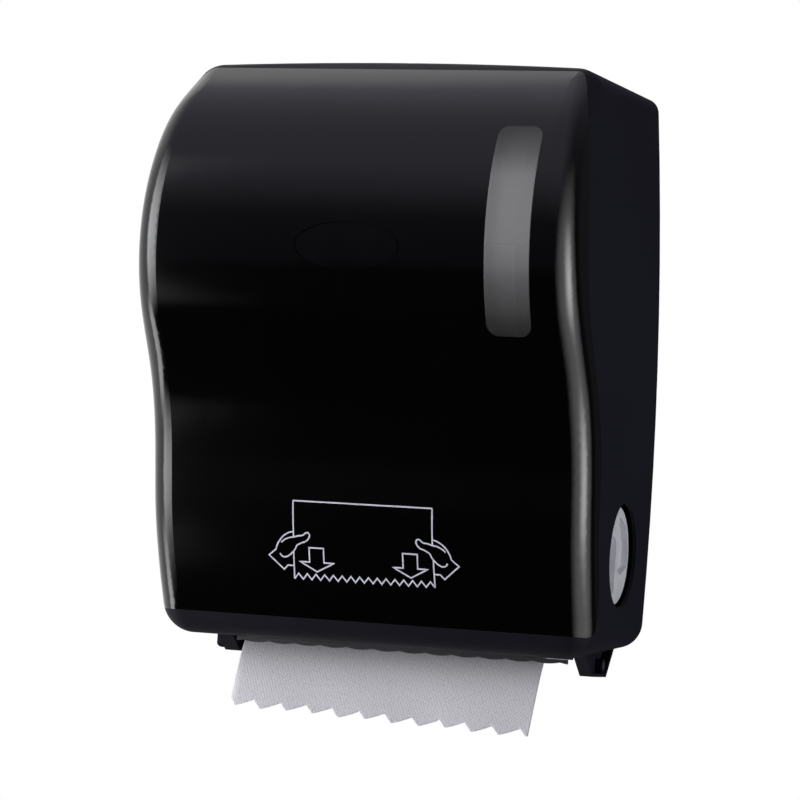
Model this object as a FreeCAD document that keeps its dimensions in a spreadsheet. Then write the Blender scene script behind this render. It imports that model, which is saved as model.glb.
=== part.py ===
import FreeCAD, Part
import math
import os
import Sketcher
from FreeCAD import Placement, Rotation, Vector

# Wall-mounted roll towel dispenser that cuts each sheet by itself. X runs to the right, Y into the wall,
# Z up. The origin is the centre of the four mounting holes, on the face that lies against the wall.
doc = FreeCAD.newDocument("roll_towel_dispenser")
sheet = doc.addObject("Spreadsheet::Sheet", "Sizes")
filled_rows = []
nodes = []


class Length:
    """A size in millimetres that carries the formula a feature is bound to."""

    def __init__(self, number, formula):
        self.number = number
        self.formula = formula

    def __add__(self, other):
        other = as_length(other)
        return Length(self.number + other.number, f"({self.formula} + {other.formula})")

    def __sub__(self, other):
        other = as_length(other)
        return Length(self.number - other.number, f"({self.formula} - {other.formula})")

    def __mul__(self, factor):
        return Length(self.number * factor, f"({self.formula} * {factor})")

    def __truediv__(self, divisor):
        return Length(self.number / divisor, f"({self.formula} / {divisor})")

    def __neg__(self):
        return Length(-self.number, f"(0 - {self.formula})")


def as_length(value):
    if isinstance(value, Length):
        return value
    return Length(float(value), f"{float(value):.6f}")


def named(alias, number):
    """Write one driving dimension into the sheet and hand it back as a Length."""
    row = len(filled_rows) + 1
    filled_rows.append(alias)
    sheet.set(f"A{row}", alias)
    sheet.set(f"B{row}", str(number))
    sheet.setAlias(f"B{row}", alias)
    return Length(float(number), f"Sizes.{alias}")


# Overall cover form
body_height = named("body_height", 370)
body_half_width = named("body_half_width", 142.75)
widest_height = named("widest_height", 95)
side_bow_radius = named("side_bow_radius", 2930)
top_bow_radius = named("top_bow_radius", 2327)
top_fall = named("top_fall", 0.06)
bottom_fall = named("bottom_fall", 0.077)
bottom_rear_rise = named("bottom_rear_rise", 8.2)
rear_top_corner = named("rear_top_corner", 10.5)
rear_bottom_corner = named("rear_bottom_corner", 17)
front_top_corner = named("front_top_corner", 21)
front_bottom_corner = named("front_bottom_corner", 24)
front_rounding = named("front_rounding", 17)
wall = named("wall", 2.4)
rear_gap = named("rear_gap", 3.5)

# Front profile: depth from the wall and height above the bottom edge at each turn of the S
shoulder_depth = named("shoulder_depth", 147)
shoulder_height = named("shoulder_height", 361)
crown_depth = named("crown_depth", 170)
crown_height = named("crown_height", 346.5)
brow_depth = named("brow_depth", 201)
brow_height = named("brow_height", 320)
cheek_depth = named("cheek_depth", 218)
cheek_height = named("cheek_height", 290)
bulge_depth = named("bulge_depth", 225)
bulge_height = named("bulge_height", 256)
flank_depth = named("flank_depth", 211)
flank_height = named("flank_height", 196)
bend_depth = named("bend_depth", 182)
bend_height = named("bend_height", 152)
waist_depth = named("waist_depth", 169)
waist_height = named("waist_height", 120)
chest_depth = named("chest_depth", 158)
chest_height = named("chest_height", 70)
chin_depth = named("chin_depth", 149.5)
chin_height = named("chin_height", 45)
lip_depth = named("lip_depth", 139)
lip_height = named("lip_height", 20)

# Glossy front panel, its parting line and what is set into it
band_width = named("band_width", 38)
panel_bottom_height = named("panel_bottom_height", 13)
panel_top_depth = named("panel_top_depth", 157)
window_centre_x = named("window_centre_x", 99.7)
window_width = named("window_width", 27.6)
window_bottom_height = named("window_bottom_height", 186.5)
window_top_height = named("window_top_height", 312)
window_corner = named("window_corner", 7)
lens_proud = named("lens_proud", 0.9)
lens_wall = named("lens_wall", 2)
lens_flange = named("lens_flange", 3)
seat_gap = named("seat_gap", 0.15)
badge_width = named("badge_width", 64.7)
badge_tall = named("badge_tall", 27.6)
badge_height = named("badge_height", 235.5)
badge_recess = named("badge_recess", 1.2)
badge_groove = named("badge_groove", 0.7)

# Cover hinge
hinge_depth = named("hinge_depth", 38)
hinge_drop = named("hinge_drop", 4)
hinge_pin_radius = named("hinge_pin_radius", 2.5)
running_gap = named("running_gap", 0.05)
lug_drop = named("lug_drop", 11)
lug_wall = named("lug_wall", 2.2)
lug_front_depth = named("lug_front_depth", 90)
lug_front_foot = named("lug_front_foot", 70)
lug_rear_depth = named("lug_rear_depth", 18)
lug_rear_foot = named("lug_rear_foot", 35)
right_lug_inner = named("right_lug_inner", 120)
right_lug_width = named("right_lug_width", 8)
left_lug_inner = named("left_lug_inner", 108)
left_lug_width = named("left_lug_width", 10)
left_knuckle_width = named("left_knuckle_width", 7)
slot_front_depth = named("slot_front_depth", 95)

# Back plate and side plates
plate_thickness = named("plate_thickness", 3)
plate_inset = named("plate_inset", 3.8)
rim_depth = named("rim_depth", 14)
rim_wall = named("rim_wall", 2)
rim_start_height = named("rim_start_height", 72)
rib_depth = named("rib_depth", 7)
rib_start_height = named("rib_start_height", 82)
boss_depth = named("boss_depth", 5)
mount_spacing_x = named("mount_spacing_x", 180)
mount_spacing_z = named("mount_spacing_z", 230)
mount_hole_radius = named("mount_hole_radius", 3)
side_plate_wall = named("side_plate_wall", 3.6)
ear_gap = named("ear_gap", 0.4)

# Feed drum and knob
drum_depth = named("drum_depth", 68.8)
drum_height = named("drum_height", 65.5)
drum_radius = named("drum_radius", 38)
drum_wall = named("drum_wall", 3)
drum_half_length = named("drum_half_length", 102.5)
drum_cap_wall = named("drum_cap_wall", 5)
band_proud = named("band_proud", 0.3)
shaft_radius = named("shaft_radius", 6)
knob_radius = named("knob_radius", 31)
knob_face_x = named("knob_face_x", 138.4)
knob_wall = named("knob_wall", 9.6)
knob_scoop_depth = named("knob_scoop_depth", 4)
knob_web = named("knob_web", 1.5)
knob_hole_radius = named("knob_hole_radius", 33.1)

# Cutter inside the drum
cutter_slot_angle = named("cutter_slot_angle", 30)
cutter_pivot_out = named("cutter_pivot_out", 26)
cutter_pivot_side = named("cutter_pivot_side", 16)
cutter_reach = named("cutter_reach", 18.6)
cutter_lean = named("cutter_lean", 33)
cutter_slot_low = named("cutter_slot_low", -16.2)
cutter_slot_high = named("cutter_slot_high", 2.5)
cutter_rod_radius = named("cutter_rod_radius", 2)
tooth_pitch = named("tooth_pitch", 6.6)
tooth_depth = named("tooth_depth", 3.2)

# Pinch roller
pinch_radius = named("pinch_radius", 10)
pinch_shaft_radius = named("pinch_shaft_radius", 3)
pinch_block = named("pinch_block", 12)
pinch_travel = named("pinch_travel", 3)

# Paper
paper_thickness = named("paper_thickness", 0.5)
paper_gap = named("paper_gap", 0.3)
roll_width = named("roll_width", 200)
roll_radius = named("roll_radius", 96)
roll_depth = named("roll_depth", 113)
roll_height = named("roll_height", 252)
core_radius = named("core_radius", 19)
core_wall = named("core_wall", 1.5)
tail_angle = named("tail_angle", 28)
tail_left_drop = named("tail_left_drop", 46)
tail_right_drop = named("tail_right_drop", 51)
scallop_pitch = named("scallop_pitch", 17.6)
scallop_depth = named("scallop_depth", 5.5)
scallop_lead = named("scallop_lead", 4.9)

# Roll arms
arm_wall = named("arm_wall", 3.5)
arm_gap = named("arm_gap", 4)
arm_pivot_depth = named("arm_pivot_depth", 10)
arm_half_height = named("arm_half_height", 14)
arm_pin_radius = named("arm_pin_radius", 2.5)
hub_stub_radius = named("hub_stub_radius", 5)
hub_flange_radius = named("hub_flange_radius", 30)
hub_plug_length = named("hub_plug_length", 11)

# Lock
lock_depth = named("lock_depth", 24)
lock_side = named("lock_side", -110)
lock_plug_radius = named("lock_plug_radius", 5)
lock_barrel_radius = named("lock_barrel_radius", 8)
lock_length = named("lock_length", 20)
tongue_reach = named("tongue_reach", 17)
doc.recompute()


def up(height):
    """Height above the cover's bottom edge as a Z coordinate."""
    return as_length(height) - body_height / 2


def out(depth):
    """Depth in front of the wall as a Y coordinate."""
    return -as_length(depth)


def bind(feature, path, length):
    feature.setExpression(path, as_length(length).formula)


def place(feature, x, y, z, rotation=None):
    """Place a feature and bind its position to the sheet."""
    position = [as_length(x), as_length(y), as_length(z)]
    turn = rotation if rotation is not None else Rotation()
    feature.Placement = Placement(Vector(*[value.number for value in position]), turn)
    for axis, value in zip("xyz", position):
        bind(feature, f"Placement.Base.{axis}", value)


def node(feature, label):
    """Give a finished sub-part its own name, which also names its file."""
    feature.Label = label
    nodes.append(feature)
    return feature


def block(name, x_span, y_span, z_span):
    """A box between a low and a high bound on each axis."""
    box = doc.addObject("Part::Box", name)
    for side, (low, high) in zip(("Length", "Width", "Height"), (x_span, y_span, z_span)):
        bind(box, side, as_length(high) - low)
    place(box, x_span[0], y_span[0], z_span[0])
    return box


TURNS = {
    "X": Rotation(Vector(0, 1, 0), 90),
    "Y": Rotation(Vector(1, 0, 0), -90),
    "Z": Rotation(),
}


def rod(name, axis, start, radius, length):
    """A cylinder that runs from start along the positive axis."""
    cylinder = doc.addObject("Part::Cylinder", name)
    bind(cylinder, "Radius", radius)
    bind(cylinder, "Height", length)
    place(cylinder, *start, TURNS[axis])
    return cylinder


def taper(name, axis, start, first_radius, last_radius, length):
    cone = doc.addObject("Part::Cone", name)
    bind(cone, "Radius1", first_radius)
    bind(cone, "Radius2", last_radius)
    bind(cone, "Height", length)
    place(cone, *start, TURNS[axis])
    return cone


def merge(name, pieces):
    union = doc.addObject("Part::MultiFuse", name)
    union.Shapes = pieces
    return union


def group(name, pieces):
    """Several equal solids kept side by side in one sub-part."""
    bundle = doc.addObject("Part::Compound", name)
    bundle.Links = pieces
    return bundle


def carve(name, base, tools):
    difference = doc.addObject("Part::Cut", name)
    difference.Base = base
    difference.Tool = tools[0] if len(tools) == 1 else merge(name + "_tools", tools)
    return difference


def origin_plane(body, role):
    return next(item for item in body.Origin.OriginFeatures if item.Role == role)


def draw_polygon(sketch, corners):
    """Straight sides through corners whose places are bound to the sheet."""
    points = [Vector(as_length(u).number, as_length(v).number, 0) for u, v in corners]
    first = sketch.GeometryCount
    for start, end in zip(points, points[1:] + points[:1]):
        sketch.addGeometry(Part.LineSegment(start, end), False)
    count = len(points)
    for step in range(count):
        following = first + (step + 1) % count
        sketch.addConstraint(Sketcher.Constraint("Coincident", first + step, 2, following, 1))
    for step, (u, v) in enumerate(corners):
        for kind, value in (("DistanceX", as_length(u)), ("DistanceY", as_length(v))):
            rule = Sketcher.Constraint(kind, -1, 1, first + step, 1, value.number)
            index = sketch.addConstraint(rule)
            sketch.setExpression(f"Constraints[{index}]", value.formula)


def draw_circle(sketch, centre, radius):
    u, v = (as_length(value) for value in centre)
    radius = as_length(radius)
    circle = Part.Circle(Vector(u.number, v.number, 0), Vector(0, 0, 1), radius.number)
    index = sketch.addGeometry(circle, False)
    rules = (
        (Sketcher.Constraint("DistanceX", -1, 1, index, 3, u.number), u),
        (Sketcher.Constraint("DistanceY", -1, 1, index, 3, v.number), v),
        (Sketcher.Constraint("Radius", index, radius.number), radius),
    )
    for rule, value in rules:
        number = sketch.addConstraint(rule)
        sketch.setExpression(f"Constraints[{number}]", value.formula)


def plate_body(name, role, start, thickness, corners, holes=(), cutouts=()):
    """A sketched plate: an outline with round holes and polygonal cut-outs, padded from start."""
    body = doc.addObject("PartDesign::Body", name)
    sketch = body.newObject("Sketcher::SketchObject", name + "_sketch")
    sketch.AttachmentSupport = [(origin_plane(body, role), "")]
    sketch.MapMode = "FlatFace"
    bind(sketch, "AttachmentOffset.Base.z", start)
    draw_polygon(sketch, corners)
    for cutout in cutouts:
        draw_polygon(sketch, cutout)
    for centre, radius in holes:
        draw_circle(sketch, centre, radius)
    pad = body.newObject("PartDesign::Pad", name + "_pad")
    pad.Profile = sketch
    bind(pad, "Length", thickness)
    doc.recompute()
    return body


def round_corners(body, radius, chosen, direction):
    """Fillet the edges that run along direction through the chosen (u, v) corners."""
    base = body.Tip
    names = []
    for number, edge in enumerate(base.Shape.Edges, start=1):
        if len(edge.Vertexes) != 2 or edge.Curve.TypeId != "Part::GeomLine":
            continue
        along = edge.Vertexes[1].Point - edge.Vertexes[0].Point
        if abs(along.normalize().dot(direction)) < 0.99:
            continue
        middle = edge.valueAt((edge.FirstParameter + edge.LastParameter) / 2)
        u, v = (middle.y, middle.z) if direction.x else (middle.x, middle.z)
        near = [math.hypot(u - as_length(a).number, v - as_length(b).number) < 0.01 for a, b in chosen]
        if any(near):
            names.append(f"Edge{number}")
    fillet = body.newObject("PartDesign::Fillet", body.Name + f"_round{len(body.Group)}")
    fillet.Base = (base, names)
    bind(fillet, "Radius", radius)
    body.Tip = fillet
    doc.recompute()
    return fillet


def solid_feature(shape, label):
    """A finished shape worked out from the sheet, where neither sketches nor primitives fit."""
    feature = doc.addObject("Part::Feature", label)
    feature.Shape = shape
    feature.Placement = Placement()
    return node(feature, label)


# Cover form: a front S-profile drawn along X meets an outline with bowed sides drawn along Y


def profile_points():
    turns = (
        (shoulder_depth, shoulder_height),
        (crown_depth, crown_height),
        (brow_depth, brow_height),
        (cheek_depth, cheek_height),
        (bulge_depth, bulge_height),
        (flank_depth, flank_height),
        (bend_depth, bend_height),
        (waist_depth, waist_height),
        (chest_depth, chest_height),
        (chin_depth, chin_height),
        (lip_depth, lip_height),
    )
    points = [Vector(0, out(depth).number, up(height).number) for depth, height in turns]
    overrun = 22
    above = points[0] + Vector(0, overrun, overrun * 0.34)
    below = points[-1] + Vector(0, overrun * 0.68, -overrun * 1.27)
    return [above] + points + [below]


def front_curve(inset):
    """The S-profile, moved inwards by inset along its own normals."""
    points = profile_points()
    curve = Part.BSplineCurve()
    curve.interpolate(points)
    if not inset:
        return curve
    moved = []
    for point in points:
        tangent = curve.tangent(curve.parameter(point))[0]
        moved.append(point + Vector(0, -tangent.z, tangent.y) * inset)
    inner = Part.BSplineCurve()
    inner.interpolate(moved)
    return inner


def behind_front(inset, half_width, reach):
    """Everything behind the S-profile, out to a reach above and below."""
    curve = front_curve(inset)
    first = curve.value(curve.FirstParameter)
    last = curve.value(curve.LastParameter)
    rear = 5
    corners = [last, Vector(0, last.y, -reach), Vector(0, rear, -reach)]
    corners += [Vector(0, rear, reach), Vector(0, first.y, reach), first]
    edges = [curve.toShape()]
    edges += [Part.makeLine(a, b) for a, b in zip(corners, corners[1:])]
    face = Part.Face(Part.Wire(Part.__sortEdges__(edges)))
    face.translate(Vector(-half_width, 0, 0))
    return face.extrude(Vector(2 * half_width, 0, 0))


def corner_centre(side, top, radius):
    """Centre of the arc that rounds the corner between a side circle and a top circle."""
    (side_x, side_z, side_r), (top_z, top_r) = side, top
    z = top_z + top_r - radius
    for _ in range(25):
        x = side_x + math.sqrt((side_r - radius) ** 2 - (z - side_z) ** 2)
        z = top_z + math.sqrt((top_r - radius) ** 2 - x ** 2)
    return x, z


def toward(centre, point, radius):
    """The point at radius from centre on the way to point."""
    reach = math.hypot(point[0] - centre[0], point[1] - centre[1])
    factor = radius / reach
    return centre[0] + (point[0] - centre[0]) * factor, centre[1] + (point[1] - centre[1]) * factor


def outline_wire(depth, top_corner, bottom_corner, inset):
    """The cover's outline at one depth: bowed sides and top, straight bottom, rounded corners."""
    y = -depth
    side_r = side_bow_radius.number - inset
    top_r = top_bow_radius.number - inset
    side_x = body_half_width.number - side_bow_radius.number
    side_z = up(widest_height).number
    top = body_height.number / 2 - top_fall.number * depth
    bottom = up(bottom_rear_rise - bottom_fall * depth).number + inset
    top_z = top - top_bow_radius.number
    top_r_corner = top_corner - inset
    low_r_corner = bottom_corner - inset
    high = corner_centre((side_x, side_z, side_r), (top_z, top_r), top_r_corner)
    low_z = bottom + low_r_corner
    low = (side_x + math.sqrt((side_r - low_r_corner) ** 2 - (low_z - side_z) ** 2), low_z)
    top_end = toward((0, top_z), high, top_r)
    side_top = toward((side_x, side_z), high, side_r)
    side_foot = toward((side_x, side_z), low, side_r)
    foot = (low[0], bottom)

    def at(point, hand):
        return Vector(hand * point[0], y, point[1])

    def arc(centre, radius, start, end, hand):
        middle = ((start[0] + end[0]) / 2, (start[1] + end[1]) / 2)
        crest = toward(centre, middle, radius)
        return Part.Arc(at(start, hand), at(crest, hand), at(end, hand)).toShape()

    edges = [Part.makeLine(at(foot, -1), at(foot, 1))]
    edges.append(arc(low, low_r_corner, foot, side_foot, 1))
    edges.append(arc((side_x, side_z), side_r, side_foot, side_top, 1))
    edges.append(arc(high, top_r_corner, side_top, top_end, 1))
    edges.append(Part.Arc(at(top_end, 1), Vector(0, y, top_z + top_r), at(top_end, -1)).toShape())
    edges.append(arc(high, top_r_corner, top_end, side_top, -1))
    edges.append(arc((side_x, side_z), side_r, side_top, side_foot, -1))
    edges.append(arc(low, low_r_corner, side_foot, foot, -1))
    return Part.Wire(edges)


def cover_form(inset, rear_depth):
    """The closed form of the cover, shrunk by inset on every side but the rear."""
    front_depth = bulge_depth.number + 15
    rear = outline_wire(rear_depth, rear_top_corner.number, rear_bottom_corner.number, inset)
    front = outline_wire(front_depth, front_top_corner.number, front_bottom_corner.number, inset)
    prism = Part.makeLoft([rear, front], True, True)
    half_width = body_half_width.number + 20
    form = prism.common(behind_front(inset, half_width, body_height.number * 0.65))
    front_face = max(form.Faces, key=lambda face: -face.CenterOfMass.y * math.sqrt(face.Area))
    return form.makeFillet(front_rounding.number - inset, front_face.OuterWire.Edges)


def panel_region(shift):
    """The space in front of the line where the glossy panel meets the matte shell."""
    band = band_width.number - shift
    foot = up(panel_bottom_height).number + shift
    turns = (
        (crown_depth, crown_height, 0.12),
        (brow_depth, brow_height, 0.42),
        (cheek_depth, cheek_height, 0.88),
        (bulge_depth, bulge_height, 1.02),
        (flank_depth, flank_height, 0.94),
        (bend_depth, bend_height, 0.86),
        (waist_depth, waist_height, 0.82),
        (chest_depth, chest_height, 0.7),
    )
    top = Vector(0, out(panel_top_depth + shift).number, up(body_height).number + 20)
    start = Vector(0, top.y, up(shoulder_height - 5).number)
    line = [start]
    for depth, height, share in turns:
        line.append(Vector(0, out(depth).number + band * share, up(height).number))
    foot_y = out(lip_depth).number + band * 0.5
    line.append(Vector(0, foot_y, foot + 22))
    line.append(Vector(0, foot_y - 1, foot + 8))
    curve = Part.BSplineCurve()
    curve.interpolate(line)
    turn = Vector(0, foot_y - 9, foot)
    bend = Part.Arc(line[-1], Vector(0, foot_y - 3.4, foot + 2.6), turn).toShape()
    front_y = -bulge_depth.number - 30
    edges = [Part.makeLine(top, start), curve.toShape(), bend]
    edges.append(Part.makeLine(turn, Vector(0, front_y, foot)))
    edges.append(Part.makeLine(Vector(0, front_y, foot), Vector(0, front_y, top.z)))
    edges.append(Part.makeLine(Vector(0, front_y, top.z), top))
    face = Part.Face(Part.Wire(Part.__sortEdges__(edges)))
    half_width = body_half_width.number + 20
    face.translate(Vector(-half_width, 0, 0))
    return face.extrude(Vector(2 * half_width, 0, 0))


def window_prism(growth):
    """The window's rounded rectangle, drawn through the front along Y."""
    half = window_width.number / 2 + growth
    low = up(window_bottom_height).number - growth
    high = up(window_top_height).number + growth
    x = window_centre_x.number
    box = Part.makeBox(2 * half, 200, high - low, Vector(x - half, -260, low))
    edges = [edge for edge in box.Edges if abs(edge.tangentAt(0).y) > 0.99]
    return box.makeFillet(window_corner.number + growth, edges)


def badge_prism(growth):
    """The badge's oval, drawn through the front along Y."""
    centre = Vector(0, -260, up(badge_height).number)
    major = badge_width.number / 2 + growth
    minor = badge_tall.number / 2 + growth
    ellipse = Part.Ellipse(centre + Vector(major, 0, 0), centre + Vector(0, 0, minor), centre)
    face = Part.Face(Part.Wire(ellipse.toShape()))
    return face.extrude(Vector(0, 200, 0))


outer_form = cover_form(0, rear_gap.number)
inner_form = cover_form(wall.number, rear_gap.number - 1)
hollow = outer_form.cut(inner_form)
front_space = panel_region(0)


def front_band(near, far):
    """The layer between two insets of the front profile, for what follows the front's curve."""
    half_width = body_half_width.number
    reach = body_height.number * 0.65
    return behind_front(near, half_width, reach).cut(behind_front(far, half_width + 1, reach + 1))


def lug_shape(inner_x, outer_x, web_at_inner):
    """A hinge lug: slanted front and rear walls, a foot and one web with the pin's bearing."""
    top_front = up(bottom_rear_rise - bottom_fall * lug_front_depth.number).number + 1
    top_rear = up(bottom_rear_rise - bottom_fall * lug_rear_depth.number).number + 1
    foot = up(-lug_drop).number
    thick = lug_wall.number
    outer = [
        (lug_front_depth.number, top_front),
        (lug_front_foot.number, foot),
        (lug_rear_foot.number, foot),
        (lug_rear_depth.number, top_rear),
    ]
    hollow_corners = [
        (lug_front_depth.number - thick * 1.6, top_front + 0.2),
        (lug_front_foot.number - thick * 0.7, foot + thick),
        (lug_rear_foot.number + thick * 0.8, foot + thick),
        (lug_rear_depth.number + thick * 1.7, top_rear + 0.2),
    ]

    def slab(corners, low, high):
        points = [Vector(low, -depth, z) for depth, z in corners]
        face = Part.Face(Part.makePolygon(points + points[:1]))
        return face.extrude(Vector(high - low, 0, 0))

    low, high = min(inner_x, outer_x), max(inner_x, outer_x)
    body = slab(outer, low, high)
    if web_at_inner == (inner_x < outer_x):
        pocket = slab(hollow_corners, low + thick, high + 1)
    else:
        pocket = slab(hollow_corners, low - 1, high - thick)
    boss_radius = hinge_pin_radius.number + 2
    axle = Vector(low, -hinge_depth.number, up(-hinge_drop).number)
    boss = Part.makeCylinder(boss_radius, high - low - 1.2, axle, Vector(1, 0, 0))
    if web_at_inner != (inner_x < outer_x):
        boss.translate(Vector(1.2, 0, 0))
    bore_radius = hinge_pin_radius.number + running_gap.number
    bore = Part.makeCylinder(bore_radius, high - low + 2, axle - Vector(1, 0, 0), Vector(1, 0, 0))
    return body.cut(pocket).fuse(boss).cut(bore)


def knuckle_shape():
    """The left lug's plain outer knuckle with rounded lower corners."""
    high = -left_lug_inner.number - left_lug_width.number
    low = high - left_knuckle_width.number
    top = up(bottom_rear_rise).number
    foot = (up(-lug_drop) + 1.4).number
    box = Part.makeBox(high - low, 46, top - foot - 2, Vector(low, -68, foot))
    lower = [edge for edge in box.Edges if edge.CenterOfMass.z < foot + 0.01]
    outer = [edge for edge in lower if edge.CenterOfMass.x < high - 0.1]
    knuckle = box.makeFillet(3, outer)
    axle = Vector(low - 1, -hinge_depth.number, up(-hinge_drop).number)
    bore_radius = hinge_pin_radius.number + running_gap.number
    return knuckle.cut(Part.makeCylinder(bore_radius, high - low + 2, axle, Vector(1, 0, 0)))


def cover_shell():
    """Matte shell: sides, top, lower lip and the hinge lugs."""
    shell = hollow.cut(front_space)
    left_edge = -left_lug_inner.number
    right_edge = right_lug_inner.number
    slot_depth = slot_front_depth.number
    slot_low = up(-20).number
    slot = Part.makeBox(right_edge - left_edge, slot_depth, 40, Vector(left_edge, -slot_depth, slot_low))
    shell = shell.cut(slot)
    knob_centre = Vector(right_edge, out(drum_depth).number, up(drum_height).number)
    shell = shell.cut(Part.makeCylinder(knob_hole_radius.number, 40, knob_centre, Vector(1, 0, 0)))
    right_outer = right_edge + right_lug_width.number
    left_outer = left_edge - left_lug_width.number
    for lug in (lug_shape(right_edge, right_outer, True), lug_shape(left_edge, left_outer, False)):
        shell = shell.fuse(lug)
    shell = shell.fuse(knuckle_shape())
    lock_base = Vector(lock_side.number, out(lock_depth).number, up(body_height - 40).number)
    lock_bore = Part.makeCylinder(lock_barrel_radius.number + seat_gap.number, 60, lock_base)
    return shell.cut(lock_bore)


solid_feature(cover_shell(), "cover_shell")


def front_panel():
    """Glossy S-shaped panel with its window opening and the oval recess."""
    panel = hollow.common(front_space)
    panel = panel.cut(window_prism(0))
    recess = front_band(-5, badge_recess.number)
    return panel.cut(recess.common(badge_prism(badge_groove.number)))


solid_feature(front_panel(), "front_panel")


def window_lens():
    """Smoked lens: a proud pane in the opening and a flange behind the panel."""
    pane = front_band(-lens_proud.number, wall.number + lens_wall.number)
    pane = pane.common(window_prism(-seat_gap.number))
    flange = front_band(wall.number + 0.1, wall.number + lens_wall.number)
    flange = flange.common(window_prism(lens_flange.number))
    return pane.fuse(flange)


solid_feature(window_lens(), "window_lens")
badge_layer = front_band(0, badge_recess.number - 0.02)
solid_feature(badge_layer.common(badge_prism(0)), "badge_inlay")


# Lock: a barrel in the cover's top beside the roll, a plug that turns in it and the tongue under the plug
lock_sag = Length(
    lock_side.number ** 2 / (2 * top_bow_radius.number),
    "(Sizes.lock_side ^ 2 / (2 * Sizes.top_bow_radius))",
)
lock_fall = Length(top_fall.number * lock_depth.number, "(Sizes.top_fall * Sizes.lock_depth)")
lock_top = up(body_height) - lock_sag - lock_fall
flange_lift = 0.8
flange_wall = 1.4
plug_proud = 0.9
tongue_wall = 3
barrel_foot = lock_top - lock_length
plug_foot = barrel_foot - 1
lock_y = out(lock_depth)
barrel_length = lock_length + flange_lift + flange_wall
barrel_body = rod("barrel_body", "Z", (lock_side, lock_y, barrel_foot), lock_barrel_radius, barrel_length)
barrel_flange = rod(
    "barrel_flange", "Z", (lock_side, lock_y, lock_top + flange_lift), lock_barrel_radius + 2, flange_wall
)
bore_start = barrel_foot - 1
barrel_bore = rod(
    "barrel_bore", "Z", (lock_side, lock_y, bore_start), lock_plug_radius + running_gap, barrel_length + 2
)
barrel_solid = merge("barrel_solid", [barrel_body, barrel_flange])
node(carve("barrel_cut", barrel_solid, [barrel_bore]), "lock_barrel")
plug_body = rod(
    "plug_body", "Z", (lock_side, lock_y, plug_foot), lock_plug_radius, barrel_length + plug_proud
)
keyway = block(
    "keyway",
    (lock_side - 0.8, lock_side + 0.8),
    (lock_y - 3, lock_y + 3),
    (lock_top - 5, lock_top + 3),
)
node(carve("plug_cut", plug_body, [keyway]), "lock_plug")
tongue_foot = plug_foot - tongue_wall
tongue_hub = rod("tongue_hub", "Z", (lock_side, lock_y, tongue_foot), lock_plug_radius, tongue_wall)
tongue_bar = block(
    "tongue_bar",
    (lock_side - 3.5, lock_side + 3.5),
    (lock_y, lock_y + tongue_reach),
    (tongue_foot, plug_foot),
)
node(merge("tongue_solid", [tongue_hub, tongue_bar]), "lock_tongue")


# Back plate: flat plate with rim, ribs, mounting holes and the keeper that the tongue turns behind
def back_plate():
    inset = plate_inset.number
    thick = plate_thickness.number
    top_r = rear_top_corner.number
    low_r = rear_bottom_corner.number

    def slab(extra, start, end):
        rear = Part.Face(outline_wire(start, top_r, low_r, inset + extra))
        front = Part.Face(outline_wire(end, top_r, low_r, inset + extra))
        return Part.makeLoft([rear.OuterWire, front.OuterWire], True, True)

    plate = slab(0, 0, thick)
    rim = slab(0, thick, rim_depth.number).cut(slab(rim_wall.number, thick - 1, rim_depth.number + 1))
    keep = Part.makeBox(400, 40, 400, Vector(-200, -39, up(rim_start_height).number))
    plate = plate.fuse(rim.common(keep))
    rib_deep = rib_depth.number - thick
    rib_foot = up(rib_start_height).number
    rib_top = up(body_height - 16).number
    for x in (-66, -22, 22, 66):
        rib = Part.makeBox(2, rib_deep, rib_top - rib_foot, Vector(x - 1, -rib_depth.number, rib_foot))
        plate = plate.fuse(rib)
    for height in (140, 200, 300):
        rib = Part.makeBox(200, rib_deep, 2, Vector(-100, -rib_depth.number, up(height).number))
        plate = plate.fuse(rib)
    keeper_foot = (tongue_foot - 6).number
    keeper_top = (plug_foot + 2).number
    keeper_front = (lock_depth + lock_plug_radius + 4).number
    keeper_x = (lock_side + lock_barrel_radius + 1.5).number
    shelf = Part.makeBox(14, keeper_front, 3, Vector(keeper_x, -keeper_front, keeper_foot - 3))
    hook = Part.makeBox(14, 3, keeper_top - keeper_foot, Vector(keeper_x, -keeper_front, keeper_foot))
    plate = plate.fuse(shelf).fuse(hook)
    for hand_x in (-1, 1):
        for hand_z in (-1, 1):
            x = hand_x * mount_spacing_x.number / 2
            z = hand_z * mount_spacing_z.number / 2
            hole = Part.makeCylinder(mount_hole_radius.number, 30, Vector(x, 1, z), Vector(0, -1, 0))
            boss = Part.makeCylinder(8, boss_depth.number, Vector(x, 0, z), Vector(0, -1, 0))
            plate = plate.fuse(boss).cut(hole)
    return plate.removeSplitter()


solid_feature(back_plate(), "back_plate")


# Side plates: each carries a drum bearing, a pinch block guide and a hinge ear that hangs below
left_plate_outer = -(left_lug_inner - ear_gap)
left_plate_inner = left_plate_outer + side_plate_wall
right_plate_outer = right_lug_inner - ear_gap
right_plate_inner = right_plate_outer - side_plate_wall
drum_y = out(drum_depth)
drum_z = up(drum_height)
hinge_y = out(hinge_depth)
hinge_z = up(-hinge_drop)
pinch_depth = drum_depth - drum_radius - band_proud - paper_gap * 2 - paper_thickness - pinch_radius
pinch_y = out(pinch_depth)
rear_rod_at = (out(12), up(120))
front_rod_at = (out(100), up(108))
rod_radius = as_length(3)


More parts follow.
